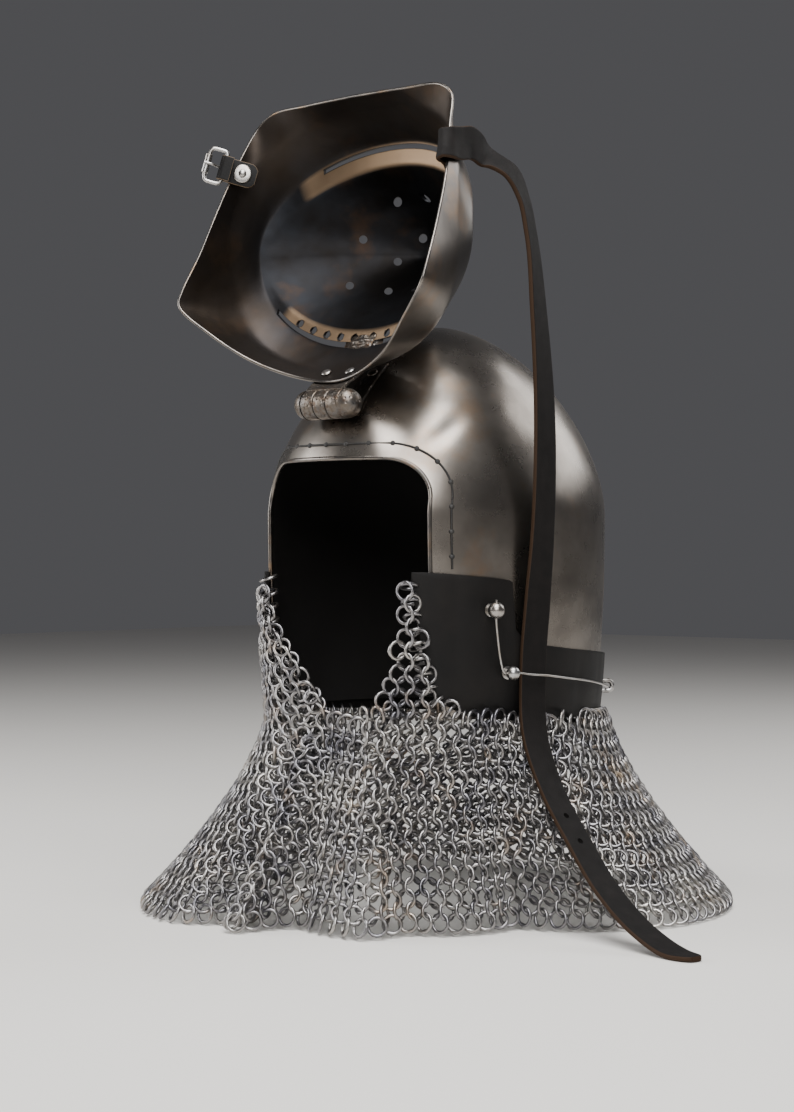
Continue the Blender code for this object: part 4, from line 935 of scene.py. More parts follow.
@dataclass
class Visor:
    """The raised visor: a walled bowl with slits and holes, dark inside and bright on its edge."""

    form: VisorForm
    finishes: Finishes
    wall: float = 1.8 * MM
    sight_slit: float = 3.5 * MM
    sight_sides: tuple[float, float] = (10 * MM, 74 * MM)
    mouth_slit: float = 3 * MM
    mouth_half: float = 52 * MM
    slot_reach: float = 14 * MM
    ledge_hole: float = 2.5 * MM
    ledge_first: float = 7.3 * MM
    ledge_pitch: float = 11.5 * MM
    ledge_holes: int = 5
    ledge_share: float = 0.36
    breath_hole: float = 2.8 * MM
    breath_slant_deg: float = 40
    bead_radius: float = 0.972 * MM
    weld_rise: float = 3.6 * MM
    weld_sink: float = 1.2 * MM

    def build(self) -> None:
        """Lofts the bowl, walls it and cuts it.

        The grid runs round in turn and in from the edge through the rings to the snout. Between rings
        it is straight, and a short running mean along that way rounds each crease.
        """
        turns = np.radians(np.linspace(-180, 180, 300, endpoint=False))
        ring_count = len(VISOR_RINGS)
        form = self.form
        rings = [form.edge(turns), *[form.ring(i, turns) for i in range(ring_count)]]
        snout = form.shut(np.zeros(len(turns)), np.array(1.0), np.array(form.snout_down))
        knots = np.array([*rings, snout])
        at = np.linspace(0, ring_count + 1, 10 * (ring_count + 1) + 1)[:-1]
        low = np.minimum(at.astype(int), ring_count)
        share = (at - low)[:, None, None]
        points = knots[low] * (1 - share) + knots[low + 1] * share
        for _ in range(2):
            points[1:-1] = (points[:-2] + 2 * points[1:-1] + points[2:]) / 4
        points = form.raised(points)
        # Slots: outside, blackened inside, filed edge
        materials = (self.finishes.visor_outer, self.finishes.visor_inner, self.finishes.edge)
        shell = surface("visor_shell", points, around=True, tip=True, materials=materials)
        # Painted light: tan along the inner ledges and faintly on the flange, where they catch the light
        ledge_light = shell.data.attributes.new("ledge", "FLOAT", "POINT")
        ledge_light.data.foreach_set("value", self._painted_ledge_light(at, np.degrees(turns)))
        walled(shell, self.wall, 0, 1, 2)
        cutters = joined("visor_cuts", self._cutters())
        cutters.data.materials.clear()
        cutters.data.materials.append(self.finishes.visor_inner)
        cut = shell.modifiers.new("slits_and_holes", "BOOLEAN")
        cut.object = cutters
        cut.material_mode = "TRANSFER"
        settle(shell)
        bpy.data.objects.remove(cutters, do_unlink=True)
        placed(shell, "blackened_steel", "visor")
        self._edge_bead()
        self._weld_lump()

    def _painted_ledge_light(self, at: Array, turns_deg: Array) -> Array:
        """How much painted light the inside gets, from 0 to 1: 1 along both ledges, 0.09 on the flange, 0
        in the bowl.

        Args:
            at: The rows' places, counted in rings from the edge.
            turns_deg: The columns' turns.

        Returns:
            The values, one a vertex.
        """
        inward = np.clip(np.minimum(at - SIGHT_RING - 1, LEDGE_RING + 1.1 - at) / 0.2, 0, 1)
        reach = np.clip((50 - np.minimum(np.abs(turns_deg), 180 - np.abs(turns_deg))) / 6, 0, 1)
        flange = 0.09 * np.clip(SIGHT_RING + 1.3 - at, 0, 1)
        return np.append(np.maximum(inward[:, None] * reach, flange[:, None]).ravel(), 0).astype(np.float32)

    def _cutters(self) -> list[bpy.types.Object]:
        """The slits' curved blocks and the holes' drums, each closed."""
        form = self.form
        inner, outer = (form.turn_for_side(SIGHT_RING, side) for side in self.sight_sides)
        mouth = form.turn_for_side(SIGHT_RING, self.mouth_half)
        made = [
            self._slit("sight_left", inner, outer, self.sight_slit),
            self._slit("sight_right", -outer, -inner, self.sight_slit),
            self._slit("mouth", math.pi - mouth, math.pi + mouth, self.mouth_slit),
        ]
        slant = math.radians(self.breath_slant_deg)
        for side in (1, -1):
            for i in range(self.ledge_holes):
                reach = self.ledge_first + i * self.ledge_pitch
                turn = np.array([form.turn_for_side(LEDGE_RING, reach) * side])
                ledge, lip = form.ring(LEDGE_RING, turn)[0], form.ring(SIGHT_RING, turn)[0]
                spot = ledge + (lip - ledge) * self.ledge_share
                name = f"ledge_{side}_{i}"
                made.append(self._drum(name, spot, (0, 1, 0), self.ledge_hole, self.slot_reach))
            aim = (side * math.sin(slant), -math.cos(slant), 0)
            for i, (across, forward, down) in enumerate(BREATH_HOLES):
                x = np.array(side * across * form.half_width)
                spot = form.shut(x, np.array(forward), np.array(down))
                made.append(self._drum(f"breath_{side}_{i}", spot, aim, self.breath_hole, form.depth / 2))
        return made

    def _drum(
        self, name: str, spot: Array, aim: Sequence, radius: float, length: float
    ) -> bpy.types.Object:
        """A hole's cutter: a round bar through a place, moved with the raised visor."""
        place = self.form.raised(np.asarray(spot))
        way = self.form.raised(np.asarray(spot) + np.asarray(aim)) - place
        half = length / 2
        profile = [(0, -half), (radius, -half), (radius, half), (0, half)]
        return lathe(name, profile, place, way, (self.finishes.visor_inner,), 20)

    def _slit(self, name: str, low: float, high: float, height: float) -> bpy.types.Object:
        """A slit's cutter: a flat block that follows the wall between the sight ring and the next."""
        form = self.form
        turns = np.linspace(low, high, 40)
        sight, ledge = form.ring(SIGHT_RING, turns), form.ring(SIGHT_RING + 1, turns)
        middle = 0.75 * sight + 0.25 * ledge
        up = np.array((0, 0, height / 2))
        out = np.array((0, self.slot_reach, 0))
        rows = np.stack([middle - out - up, middle + out - up, middle + out + up, middle - out + up], 1)
        ends = [np.broadcast_to(rows[i].mean(0), rows[0].shape) for i in (0, -1)]
        rows = form.raised(np.concatenate([ends[:1], rows, ends[1:]]))
        made = surface(name, rows, around=True, materials=(self.finishes.visor_inner,))
        weld(made)
        return made

    def _edge_bead(self) -> None:
        """The rubbed edge: a thin round wire along the visor's rim."""
        turns = np.radians(np.linspace(-180, 180, 240, endpoint=False))
        path = self.form.raised(self.form.edge(turns))
        bead = tube("visor_edge_bead", path, self.bead_radius, (self.finishes.edge,), 12, closed=True)
        placed(bead, "blackened_steel")

    def _weld_lump(self) -> None:
        """The weld that joins the brow plate to the ledge: a low lump inside, at the middle.

        It is a patch of the sight ring's inside, pushed inwards by a bell curve with ripples.
        """
        form = self.form
        turns = np.linspace(-0.17, 0.17, 40)
        share = np.linspace(-0.35, 1.0, 26)[:, None, None]
        sight, ledge = form.ring(SIGHT_RING, turns), form.ring(LEDGE_RING, turns)
        spots = sight * (1 - share) + ledge * share
        across = np.linspace(-1, 1, 40)[None, :]
        along = np.linspace(-1, 1, 26)[:, None]
        bell = np.clip(1 - across**2, 0, 1) ** 1.5 * np.clip(1 - along**2, 0, 1) ** 1.2
        ripple = 1 + 0.16 * np.sin(9 * across + 4 * along) + 0.12 * np.sin(14 * along)
        push = self.weld_rise * bell * ripple - self.weld_sink
        spots = spots + push[..., None] * np.array((0, 1, -0.35))
        lump = surface("visor_weld", form.raised(spots), materials=(self.finishes.forged,))
        placed(lump, "blackened_steel")


@dataclass
class Hinge:
    """The brow hinge: two leaves, three knuckles, a pin with domed heads and four rivets."""

    skull: SkullForm
    visor: VisorForm
    finishes: Finishes
    barrel: float = 9.5 * MM
    pin_radius: float = 3 * MM
    soft: float = 0.9 * MM
    knuckle: float = 10 * MM
    knuckle_gap: float = 0.5 * MM
    leaf_half: float = 15.25 * MM
    leaf_thickness: float = 2.2 * MM
    leaf_low_z: float = 318 * MM
    leaf_high_z: float = 350 * MM
    visor_wall: float = 1.8 * MM
    rivet_radius: float = 3.4 * MM
    rivet_head: float = 1.3 * MM
    rivet_side: float = 10 * MM
    visor_rivet_share: float = 0.5

    def build(self) -> None:
        """Builds the leaves with their knuckles, then the pin and the rivets."""
        pin = np.array((0, -self.visor.hinge_forward, self.visor.hinge_z))
        self._brow_leaf(pin)
        self._visor_leaf(pin)
        end = 1.5 * self.knuckle + self.knuckle_gap + SEAT_GAP
        turns = np.linspace(0, 0.5 * math.pi, 12)
        cap = [(self.barrel * math.cos(t), end + self.barrel * math.sin(t)) for t in turns]
        right = [(self.pin_radius, end), (0.97 * self.barrel, end), *cap]
        profile = [(radius, -height) for radius, height in reversed(right)] + right
        head = lathe("hinge_pin_heads", profile, pin, (1, 0, 0), (self.finishes.forged,), 48)
        placed(head, "pitted_steel", "hinge_pin")
        self._rivets()

    def _knuckle(self, name: str, low: float, high: float, pin: Array) -> bpy.types.Object:
        """A knuckle: a drum on the pin's line with soft rims and a running bore."""
        arc = np.linspace(0, 0.5 * math.pi, 5)
        soft, rim = self.soft, self.barrel - self.soft
        bore = self.pin_radius + RUNNING_GAP
        lead = [(rim + soft * math.sin(t), low + soft - soft * math.cos(t)) for t in arc]
        tail = [(rim + soft * math.cos(t), high - soft + soft * math.sin(t)) for t in arc]
        profile = [(bore, low), *lead, *tail, (bore, high), (bore, low)]
        return lathe(name, profile, pin, (1, 0, 0), (self.finishes.forged,), 48)

    def _leaf(self, name: str, rows: Array) -> bpy.types.Object:
        """A leaf: a plate on a grid of places, with its wall both ways and its edges rounded."""
        leaf = surface(name, rows, materials=(self.finishes.forged,))
        walled(leaf, self.leaf_thickness, 0)
        rounded(leaf, 0.6 * MM)
        settle(leaf)
        return leaf

    def _brow_leaf(self, pin: Array) -> None:
        """The plate that follows the dome, with its web and the middle knuckle."""
        sides = np.linspace(-self.leaf_half, self.leaf_half, 24)[None, :]
        z = np.linspace(self.leaf_low_z, self.leaf_high_z, 24)[:, None]
        angle = self.skull.angle_at(sides, z)
        plate = self._leaf("brow_plate", self.skull.off(angle, z, SEAT_GAP + self.leaf_thickness / 2))
        back = float(self.skull.off(np.array(0.0), np.array(pin[2]), SEAT_GAP + self.leaf_thickness / 2)[1])
        middle = np.linspace(pin + (0, 0, 0.4 * self.barrel), (0, back, pin[2] + 0.4 * self.barrel), 6)
        across = np.tile((1.0, 0, 0), (6, 1))
        web = strip("brow_web", middle, across, np.full(6, 0.9 * self.knuckle), 0.6 * self.barrel,
                    (self.finishes.forged,))
        drum = self._knuckle("brow_knuckle", -self.knuckle / 2, self.knuckle / 2, pin)
        placed(joined("brow_leaf", [plate, web, drum]), "pitted_steel", "hinge_brow_leaf")

    def _visor_leaf(self, pin: Array) -> None:
        """The plate under the visor's brow, with a knuckle each side of the middle one."""
        sides = np.linspace(-self.leaf_half, self.leaf_half, 24)
        lift = self.visor_wall / 2 + 2 * SEAT_GAP + self.leaf_thickness / 2
        rows = []
        for share in np.linspace(-0.5, 0.9, 16):
            spots, outward = self.visor.plate(sides, share)
            rows.append((spots + outward * lift) * (0, 1, 1) + sides[:, None] * (1, 0, 0))
        rows = np.array(rows)
        # By the barrel every row runs level across, at the height of its own middle
        level = rows - rows[:1] + rows[0].mean(0)
        ease = np.clip(1 - np.arange(len(rows)) / 5, 0, 1)[:, None, None]
        rows[..., 1:] += (level - rows)[..., 1:] * ease
        plate = self._leaf("visor_plate", self.visor.raised(rows))
        inner = self.knuckle / 2 + self.knuckle_gap
        outer = inner + self.knuckle
        left = self._knuckle("visor_knuckle_left", inner, outer, pin)
        right = self._knuckle("visor_knuckle_right", -outer, -inner, pin)
        placed(joined("visor_leaf", [plate, left, right]), "pitted_steel", "hinge_visor_leaf")

    def _rivets(self) -> None:
        """The four domed rivets."""
        profile = dome(self.rivet_radius, self.rivet_head)
        for side, hand in ((1, "left"), (-1, "right")):
            spots, outward = self.visor.plate(np.array([side * self.rivet_side]), self.visor_rivet_share)
            place = spots[0] - outward[0] * (self.visor_wall / 2 + 2 * SEAT_GAP)
            seat = self.visor.raised(place)
            normal = self.visor.raised(place - outward[0]) - seat
            rivet = lathe(f"visor_rivet_head_{hand}", profile, seat, normal, (self.finishes.nickel,), 32)
            placed(rivet, "nickel_steel", f"visor_rivet_{hand}")
            z = self.leaf_high_z - 2 * self.rivet_radius
            angle = float(self.skull.angle_at(np.array(side * self.rivet_side), np.array(z)))
            stand = 2 * SEAT_GAP + self.leaf_thickness
            seat = self.skull.off(np.array(angle), np.array(z), stand)
            normal = self.skull.off(np.array(angle), np.array(z), stand + MM) - seat
            rivet = lathe(f"brow_rivet_head_{hand}", profile, seat, normal, (self.finishes.forged,), 32)
            placed(rivet, "pitted_steel", f"brow_rivet_{hand}")


# The leather band's edges. Columns: angle from the front in degrees, then the upper edge's way down from
# the cheek's top to the rear's top, and the lower edge's way down to the rear's low edge, as shares.
BAND_EDGES = (
    (35.5, 0.0, 0.06),
    (38, 0.0, 0.37),
    (40, 0.0, 0.6),
    (42.5, 0.01, 0.72),
    (45.5, 0.015, 0.79),
    (52, 0.035, 0.86),
    (61, 0.06, 0.88),
    (66, 0.08, 0.895),
    (67.5, 0.1, 0.9),
    (69, 0.6, 0.9),
    (72, 0.72, 0.905),
    (80, 0.78, 0.92),
    (95, 0.84, 0.94),
    (140, 0.96, 0.985),
    (180, 1.0, 1.0),
)


@dataclass
class BandForm:
    """The leather band's outline and face."""

    skull: SkullForm
    thickness: float = 2.5 * MM
    gap: float = 0.5 * MM
    cheek_top_z: float = 219 * MM
    rear_top_z: float = 160 * MM
    rear_bottom_z: float = 116.5 * MM

    @property
    def outer(self) -> float:
        """The outer face's distance from the skull."""
        return self.gap + self.thickness

    @property
    def span(self) -> float:
        """The height from the rear's low edge to the cheek's top."""
        return self.cheek_top_z - self.rear_bottom_z

    def edge(self, angle: Array, column: int) -> Array:
        """The upper (1) or lower (2) edge's height, straight between the table's rows."""
        table = np.array(BAND_EDGES)
        share = np.interp(np.degrees(np.abs(angle)), table[:, 0], table[:, column])
        stop = (self.rear_top_z, self.rear_bottom_z)[column - 1]
        return self.cheek_top_z + (stop - self.cheek_top_z) * share

    def on(self, angle_deg: float, share: float, out: float) -> Array:
        """A place outside the band, by angle, height share and distance straight out."""
        angle = math.radians(angle_deg)
        z = self.rear_bottom_z + self.span * share
        return self.skull.point(angle, z, self.outer) + self.skull.outward(angle, z) * out


@dataclass
class Band:
    """The leather band that carries the mail, from cheek to cheek round the back."""

    form: BandForm
    finishes: Finishes

    def build(self) -> None:
        """One walled strip, rounded at its edges: angle by height share on the band's form."""
        table = np.array(BAND_EDGES)
        near = np.concatenate([np.linspace(table[0, 0], 75, 70), np.linspace(75, 180, 80)[1:]])
        half = np.unique(np.concatenate([near, table[:, 0]]))
        degrees = np.concatenate([half, 360 - half[-2::-1]])
        folded = np.radians(np.where(degrees > 180, degrees - 360, degrees))
        top, low = self.form.edge(folded, 1), self.form.edge(folded, 2)
        share = np.linspace(0, 1, 22)[:, None]
        # The hide waves a little between its fixings: 0.5 mm over about 60 mm
        wave = 0.5 * MM * np.sin(np.radians(degrees) * 11) * np.sin(share * 2.6)
        middle = self.form.gap + self.form.thickness / 2
        points = self.form.skull.point(folded, low + (top - low) * share, middle + np.abs(wave))
        band = surface("hide_band", points, materials=(self.finishes.hide,))
        walled(band, self.form.thickness, 0)
        rounded(band, 0.7 * MM)
        settle(band, 50)
        placed(band, "black_leather", "leather_band")


# Vervelles on one side, mirrored on the other. Columns: name, angle in degrees, height share, radius.
VERVELLES = (("front", 60.2, 0.772, 5.2 * MM), ("lower", 66.2, 0.392, 4.4 * MM))


@dataclass
class Vervelles:
    """The ball studs, the eye staples and the wire that locks them."""

    band: BandForm
    finishes: Finishes
    stem_radius: float = 2.4 * MM
    stem: float = 3.2 * MM
    staple_deg: float = 142
    staple_height: float = 0.235
    staple_wire: float = 1.6 * MM
    staple_reach: float = 9 * MM
    staple_half: float = 3.4 * MM
    lace_radius: float = 0.7 * MM

    def build(self) -> None:
        """Builds both sides' studs and staples, then the wire."""
        for side, hand in ((1, "left"), (-1, "right")):
            for name, angle, share, radius in VERVELLES:
                self._stud(f"{name}_{hand}", side * angle, share, radius)
            self._staple(side, hand)
        self._wire()

    def _stud(self, name: str, angle: float, share: float, radius: float) -> None:
        """A ball on a stem with a small collar: a circle's arc from the stem up to its pole."""
        seat = self.band.on(angle, share, SEAT_GAP)
        normal = self.band.skull.outward(math.radians(angle), seat[2])
        low = -math.acos(self.stem_radius / radius)
        centre = self.stem - radius * math.sin(low)
        turns = np.linspace(low, 0.5 * math.pi, 20)
        ball = [(radius * math.cos(t), centre + radius * math.sin(t)) for t in turns]
        collar = [(0, 0), (1.75 * self.stem_radius, 0), (1.7 * self.stem_radius, 0.9 * MM)]
        profile = [*collar, (self.stem_radius, 1.3 * MM), *ball]
        stud = lathe(f"stud_{name}", profile, seat, normal, (self.finishes.nickel,), 40)
        placed(stud, "nickel_steel", f"vervelle_{name}")

    def _staple(self, side: int, hand: str) -> None:
        """An eye staple: a round wire bent to a half circle, both feet in the band."""
        seat = self.band.on(side * self.staple_deg, self.staple_height, 2 * SEAT_GAP)
        normal = self.band.skull.outward(side * math.radians(self.staple_deg), seat[2])
        turns = np.linspace(0, math.pi, 24)[:, None]
        foot = self.staple_reach - self.staple_half
        bow = seat + normal * (foot + self.staple_half * np.sin(turns))
        bow = bow - np.cos(turns) * np.array((0, 0, self.staple_half))
        ends = seat + np.array(((0, 0, -self.staple_half), (0, 0, self.staple_half)))
        path = np.concatenate([ends[:1], bow, ends[1:]])
        eye = tube(f"staple_{hand}", path, self.staple_wire, (self.finishes.nickel,), 16)
        placed(eye, "nickel_steel", f"eye_staple_{hand}")

    def _wire(self) -> None:
        """The locking wire: a smooth curve through its stops and their mirror, round the back."""
        (_, front, front_high, front_ball), (_, lower, lower_high, lower_ball) = VERVELLES
        far, near = (
            self.stem + math.sqrt(r**2 - self.stem_radius**2) + SEAT_GAP for r in (front_ball, lower_ball)
        )
        past = 1.25 * front_ball / self.band.span
        fall = lower_high - self.staple_height
        rise = front_high - lower_high
        rest = self.lace_radius + RUNNING_GAP
        staple, high = self.staple_deg, self.staple_height
        stops = np.array((
            (front, front_high + past, far),
            (front, front_high, far),
            (front, front_high - past, far),
            (front + 0.5, lower_high + 0.62 * rise, far - 0.3 * MM),
            (front + 1.5, lower_high + 0.28 * rise, near + 0.3 * MM),
            (lower - 3.2, lower_high + 0.2 * past, near),
            (lower - 1.8, lower_high, near),
            (lower, lower_high, near),
            (lower + 2.2, lower_high, near),
            (lower + 6.5, lower_high - 0.08 * fall, near - 0.3 * MM),
            (lower + 12, lower_high - 0.14 * fall, near - 0.5 * MM),
            (lower + 17, lower_high - 0.22 * fall, near - 0.8 * MM),
            (lower + 24, lower_high - 0.33 * fall, 4 * rest),
            (lower + 36, lower_high - 0.5 * fall, 2 * rest),
            (staple - 18, lower_high - 0.85 * fall, 2 * rest),
            (staple - 6, high, self.staple_reach / 2),
            (staple, high, self.staple_reach / 2 + 2 * SEAT_GAP),
            (staple + 6, high, self.staple_reach / 2),
            (staple + 20, high, 2 * rest),
            (180, high, 2 * rest),
        ))
        stops = np.concatenate([stops, stops[-2::-1] * (-1, 1, 1) + (360, 0, 0)])
        knots = np.arange(len(stops))
        fine = smooth_at(knots, stops, np.linspace(0, knots[-1], 6 * knots[-1] + 1))
        path = np.array([self.band.on(*row) for row in fine])
        wire = tube("locking_wire", path, self.lace_radius, (self.finishes.nickel,), 12)
        placed(wire, "nickel_steel", "vervelle_wire")


# The mail's upper edge over the bib. Columns: angle from the front in degrees towards the wearer's left,
# height as a share of the bib's.
BIB_EDGE = (
    (-35.8, 0.93),
    (-34.5, 0.98),
    (-31.5, 1.0),
    (-28.5, 0.97),
    (-26, 0.88),
    (-17, 0.57),
    (-9, 0.32),
    (1.7, 0.135),
    (8, 0.02),
    (12.9, 0.05),
    (20.5, 0.135),
    (27, 0.27),
    (30.3, 0.42),
    (32, 0.72),
    (33.2, 0.95),
    (34.6, 1.0),
    (35.8, 0.93),
)
# The hem's distance from the axis. Columns: angle in degrees towards the wearer's left, share of the
# hem radius.
MAIL_HEM = (
    (-180, 0.98),
    (-150, 0.97),
    (-120, 1.0),
    (-90, 0.97),
    (-62, 1.0),
    (-47, 1.005),
    (-30, 1.015),
    (-20, 0.97),
    (-14, 0.86),
    (-10, 0.8),
    (-5.5, 0.95),
    (-2, 0.8),
    (3, 0.74),
    (9, 0.77),
    (17, 0.81),
    (23, 0.82),
    (30, 0.72),
    (42, 0.71),
    (54, 0.67),
    (62, 0.63),
    (70, 0.72),
    (80, 0.81),
    (92, 0.91),
    (103, 0.96),
    (129, 0.995),
    (150, 1.0),
    (180, 0.98),
)


@dataclass
class MailForm:
    """The surface that the mail's rings lie on."""

    band: BandForm
    thickness: float = 4 * MM
    gap: float = 0.6 * MM
    overlap: float = 6 * MM
    hem_radius: float = 198 * MM
    neck_front: float = 110 * MM
    flare_z: float = 125 * MM
    flare_power: float = 1.45
    bib_top_z: float = 213 * MM
    bib_bottom_z: float = 125 * MM

    def top(self, angle: Array) -> Array:
        """The upper edge's height: the bib's table in front, just over the band's low edge elsewhere."""
        table = np.array(BIB_EDGE)
        turned = np.degrees(angle)
        bib = self.bib_bottom_z + (self.bib_top_z - self.bib_bottom_z) * np.interp(
            turned, table[:, 0], table[:, 1]
        )
        hung = self.band.edge(angle, 2) + self.overlap
        return np.where(np.abs(turned) < table[-1, 0] + 0.1, bib, hung)

    def point(self, angle: Array, z: Array) -> Array:
        """A place on the mail: a neck ellipse, swept out to the hem by (1 - z / flare) ^ power."""
        angle, z = np.broadcast_arrays(angle, z)
        table = np.array(MAIL_HEM)
        out = self.band.outer + self.gap + self.thickness / 2
        neck = self.band.skull.point(angle, np.maximum(z, self.band.skull.edge_z), out)
        front = np.clip(np.cos(angle), 0, 1) ** 6
        pull = np.clip((self.neck_front + out) / np.maximum(np.abs(neck[..., 1]), MM), 0, 1)
        neck[..., 1] *= 1 - front * (1 - pull)
        share = smooth_at(table[:, 0], table[:, 1], np.degrees(angle).ravel()).reshape(np.shape(angle))
        hem = self.hem_radius - self.thickness / 2
        foot = np.stack([hem * share * np.sin(angle), -hem * share * np.cos(angle)], -1)
        fall = np.clip((self.flare_z - z) / self.flare_z, 0, 1) ** self.flare_power
        spot = np.array(neck)
        spot[..., :2] += (foot - neck[..., :2]) * fall[..., None]
        spot[..., 2] = z
        return spot


@dataclass
class Mail:
    """The riveted rings, linked four to one, in level rows that lean left and right by turns."""

    form: MailForm
    finishes: Finishes
    ring_radius: float = 5.5 * MM
    wire_radius: float = 1.06 * MM
    row_pitch: float = 7.2 * MM
    hem_rise: float = 8.4 * MM
    lean_deg: float = 31
    segments: int = 14
    sides: int = 6
    edge_pitch: float = 9.2 * MM
    edge_lean_deg: float = 72
    # Rows in a zone, and each zone's rings a row from the hem up
    zone_depth: int = 7
    zone_counts: tuple[int, ...] = (116, 98, 82)
    grid: int = 1441
    depth: int = 400

    def build(self) -> None:
        """Finds each ring's place and lean, then builds the rings in a few pieces."""
        angles = np.linspace(-math.pi, math.pi, self.grid)
        slope, length = self._slope(angles)
        rows = int((length.max() - self.hem_rise) // self.row_pitch) + 1
        found = [self._row(row, angles, slope, length) for row in range(rows)]
        rings = [np.concatenate([row[i] for row in found]) for i in range(4)]
        edge = self._edge_rings()
        rings = [np.concatenate([a, b]) for a, b in zip(rings, edge)]
        thirds = np.array_split(np.argsort(rings[0][:, 2]), 3)
        for name, chosen in zip(("hem", "neck", "bib"), thirds):
            nodes = ("mail_aventail",) if name == "hem" else ()
            piece = self._rings(f"mail_rings_{name}", *[part[chosen] for part in rings])
            placed(piece, "mail_rings", *nodes)

    def _slope(self, angles: Array) -> tuple[Array, Array]:
        """The mail's places up each angle, and their distance from the hem along the surface."""
        share = np.linspace(0, 1, self.depth)[:, None]
        # Every angle is followed to the bib's top, and the rings above the mail's edge are left out later
        z = share * self.form.bib_top_z
        slope = self.form.point(angles[None], z)
        steps = np.linalg.norm(np.diff(slope, axis=0), axis=-1)
        length = np.concatenate([np.zeros((1, len(angles))), np.cumsum(steps, axis=0)])
        return slope, length

    def _row(self, row: int, angles: Array, slope: Array, length: Array) -> tuple[Array, ...]:
        """One level row of rings.

        Args:
            row: The row's number from the hem.
            angles: The grid's angles.
            slope: Places by depth and angle.
            length: Their distance from the hem.

        Returns:
            Each ring's place, its direction along the row, its outward direction and its lean.
        """
        zone = min(row // self.zone_depth, len(self.zone_counts) - 1)
        count = self.zone_counts[zone]
        middle = (zone + 0.5) * self.zone_depth
        around = self._level(slope, length, self.hem_rise + middle * self.row_pitch)
        way = walked(around)
        share = (np.arange(count) + 0.5 * (row % 2)) / count
        at = np.interp(share * way[-1], way, angles)
        here = self.hem_rise + row * self.row_pitch
        line = self._level(slope, length, here)
        above = self._level(slope, length, here + MM)
        spot = read_at(at, angles, line)
        along = unit(read_at(at, angles, np.gradient(line, axis=0)))
        rise = unit(read_at(at, angles, above - line))
        outward = unit(np.cross(along, rise))
        keep = spot[:, 2] < self.form.top(at) - 0.4 * self.ring_radius
        lean = np.full(count, math.radians(self.lean_deg) * (1 if row % 2 else -1))
        return spot[keep], along[keep], outward[keep], lean[keep]

    def _level(self, slope: Array, length: Array, at: float) -> Array:
        """The places that lie the same distance up the surface from the hem, at every angle."""
        over = np.clip((length < at).sum(0), 1, len(length) - 1)
        column = np.arange(length.shape[1])
        low, high = length[over - 1, column], length[over, column]
        share = np.clip((at - low) / (high - low), 0, 1)[:, None]
        return slope[over - 1, column] * (1 - share) + slope[over, column] * share

    def _edge_rings(self) -> tuple[Array, ...]:
        """The rings through the band's holes, along its front and lower edges, standing across them."""
        first = math.radians(BAND_EDGES[0][0] + 0.4)
        angles = np.linspace(first, 2 * math.pi - first, 4000)
        folded = np.where(angles > math.pi, angles - 2 * math.pi, angles)
        band = self.form.band
        z = band.edge(folded, 2)
        line = band.skull.point(folded, z, band.outer - 0.6 * band.thickness)
        upright = np.linspace(band.edge(np.array(first), 2), band.cheek_top_z - 4 * MM, 200)
        front = band.skull.point(np.full(200, first), upright, band.outer - 0.6 * band.thickness)
        path = np.concatenate([front[::-1], line, front * (-1, 1, 1)])
        way = walked(path)
        at = np.arange(self.edge_pitch / 2, way[-1], self.edge_pitch)
        spot = read_at(at, way, path)
        ahead = read_at(at + 2 * MM, way, path)
        along = unit(ahead - spot + 1e-9)
        outward = unit(spot * (1, 1, 0))
        aside = unit(np.cross(along, outward))
        down = np.where(aside[:, 2:] > 0, -aside, aside)
        spot = spot + down * 0.45 * self.ring_radius
        lean = np.full(len(spot), math.radians(self.edge_lean_deg))
        return spot, along, outward, lean

    def _rings(self, name: str, spot: Array, along: Array, outward: Array, lean: Array) -> bpy.types.Object:
        """Tori at their places: a circle about each ring's middle, and a wire section about that circle.

        The ring's own axis is outward turned by lean about the slope. One section of each is fattened
        and flattened into the riveted lap, and shade gives each ring its own tone.

        Args:
            name: The piece's name.
            spot: The rings' middles.
            along: Directions along the row.
            outward: Directions off the surface.
            lean: Each ring's turn about the slope.

        Returns:
            The object.
        """
        count = len(spot)
        rng = np.random.default_rng(len(name) * 7 + count)
        lean = lean + np.radians(rng.normal(0, 3.0, count))
        slope = np.cross(outward, along)
        axis = outward * np.cos(lean)[:, None] + along * np.sin(lean)[:, None]
        side = unit(along * np.cos(lean)[:, None] - outward * np.sin(lean)[:, None])
        axis = unit(axis + slope * rng.normal(0, 0.05, count)[:, None])
        up = np.cross(axis, side)
        turns = np.linspace(0, 2 * math.pi, self.segments, endpoint=False)
        section = np.linspace(0, 2 * math.pi, self.sides, endpoint=False)
        lap = rng.integers(0, self.segments, count)
        steps = np.abs((np.arange(self.segments)[None] - lap[:, None] + self.segments // 2) % self.segments
                       - self.segments // 2)
        fat = 1 + 0.5 * (steps == 0)
        flat = 1 + 0.15 * (steps == 0)
        radial = (side[:, None] * np.cos(turns)[:, None] + up[:, None] * np.sin(turns)[:, None])[:, :, None]
        wide = (self.wire_radius * fat)[:, :, None, None] * np.cos(section)[:, None]
        tall = (self.wire_radius * flat)[:, :, None, None] * np.sin(section)[:, None]
        points = spot[:, None, None] + radial * (self.ring_radius + wide) + axis[:, None, None] * tall
        index = np.arange(self.segments * self.sides).reshape(self.segments, self.sides)
        ahead, turned = np.roll(index, -1, 0), np.roll(index, -1, 1)
        quads = np.stack([index, ahead, np.roll(ahead, -1, 1), turned], -1).reshape(-1, 4)
        corners = (quads[None] + (np.arange(count) * index.size)[:, None, None]).ravel()
        sizes = np.full(len(corners) // 4, 4)
        made = meshed(name, points.reshape(-1, 3), corners, sizes, (self.finishes.ring,))
        tones = np.repeat(rng.uniform(0, 0.6, count), index.size)
        shade = made.data.attributes.new("shade", "FLOAT", "POINT")
        shade.data.foreach_set("value", tones.astype(np.float32))
        return made


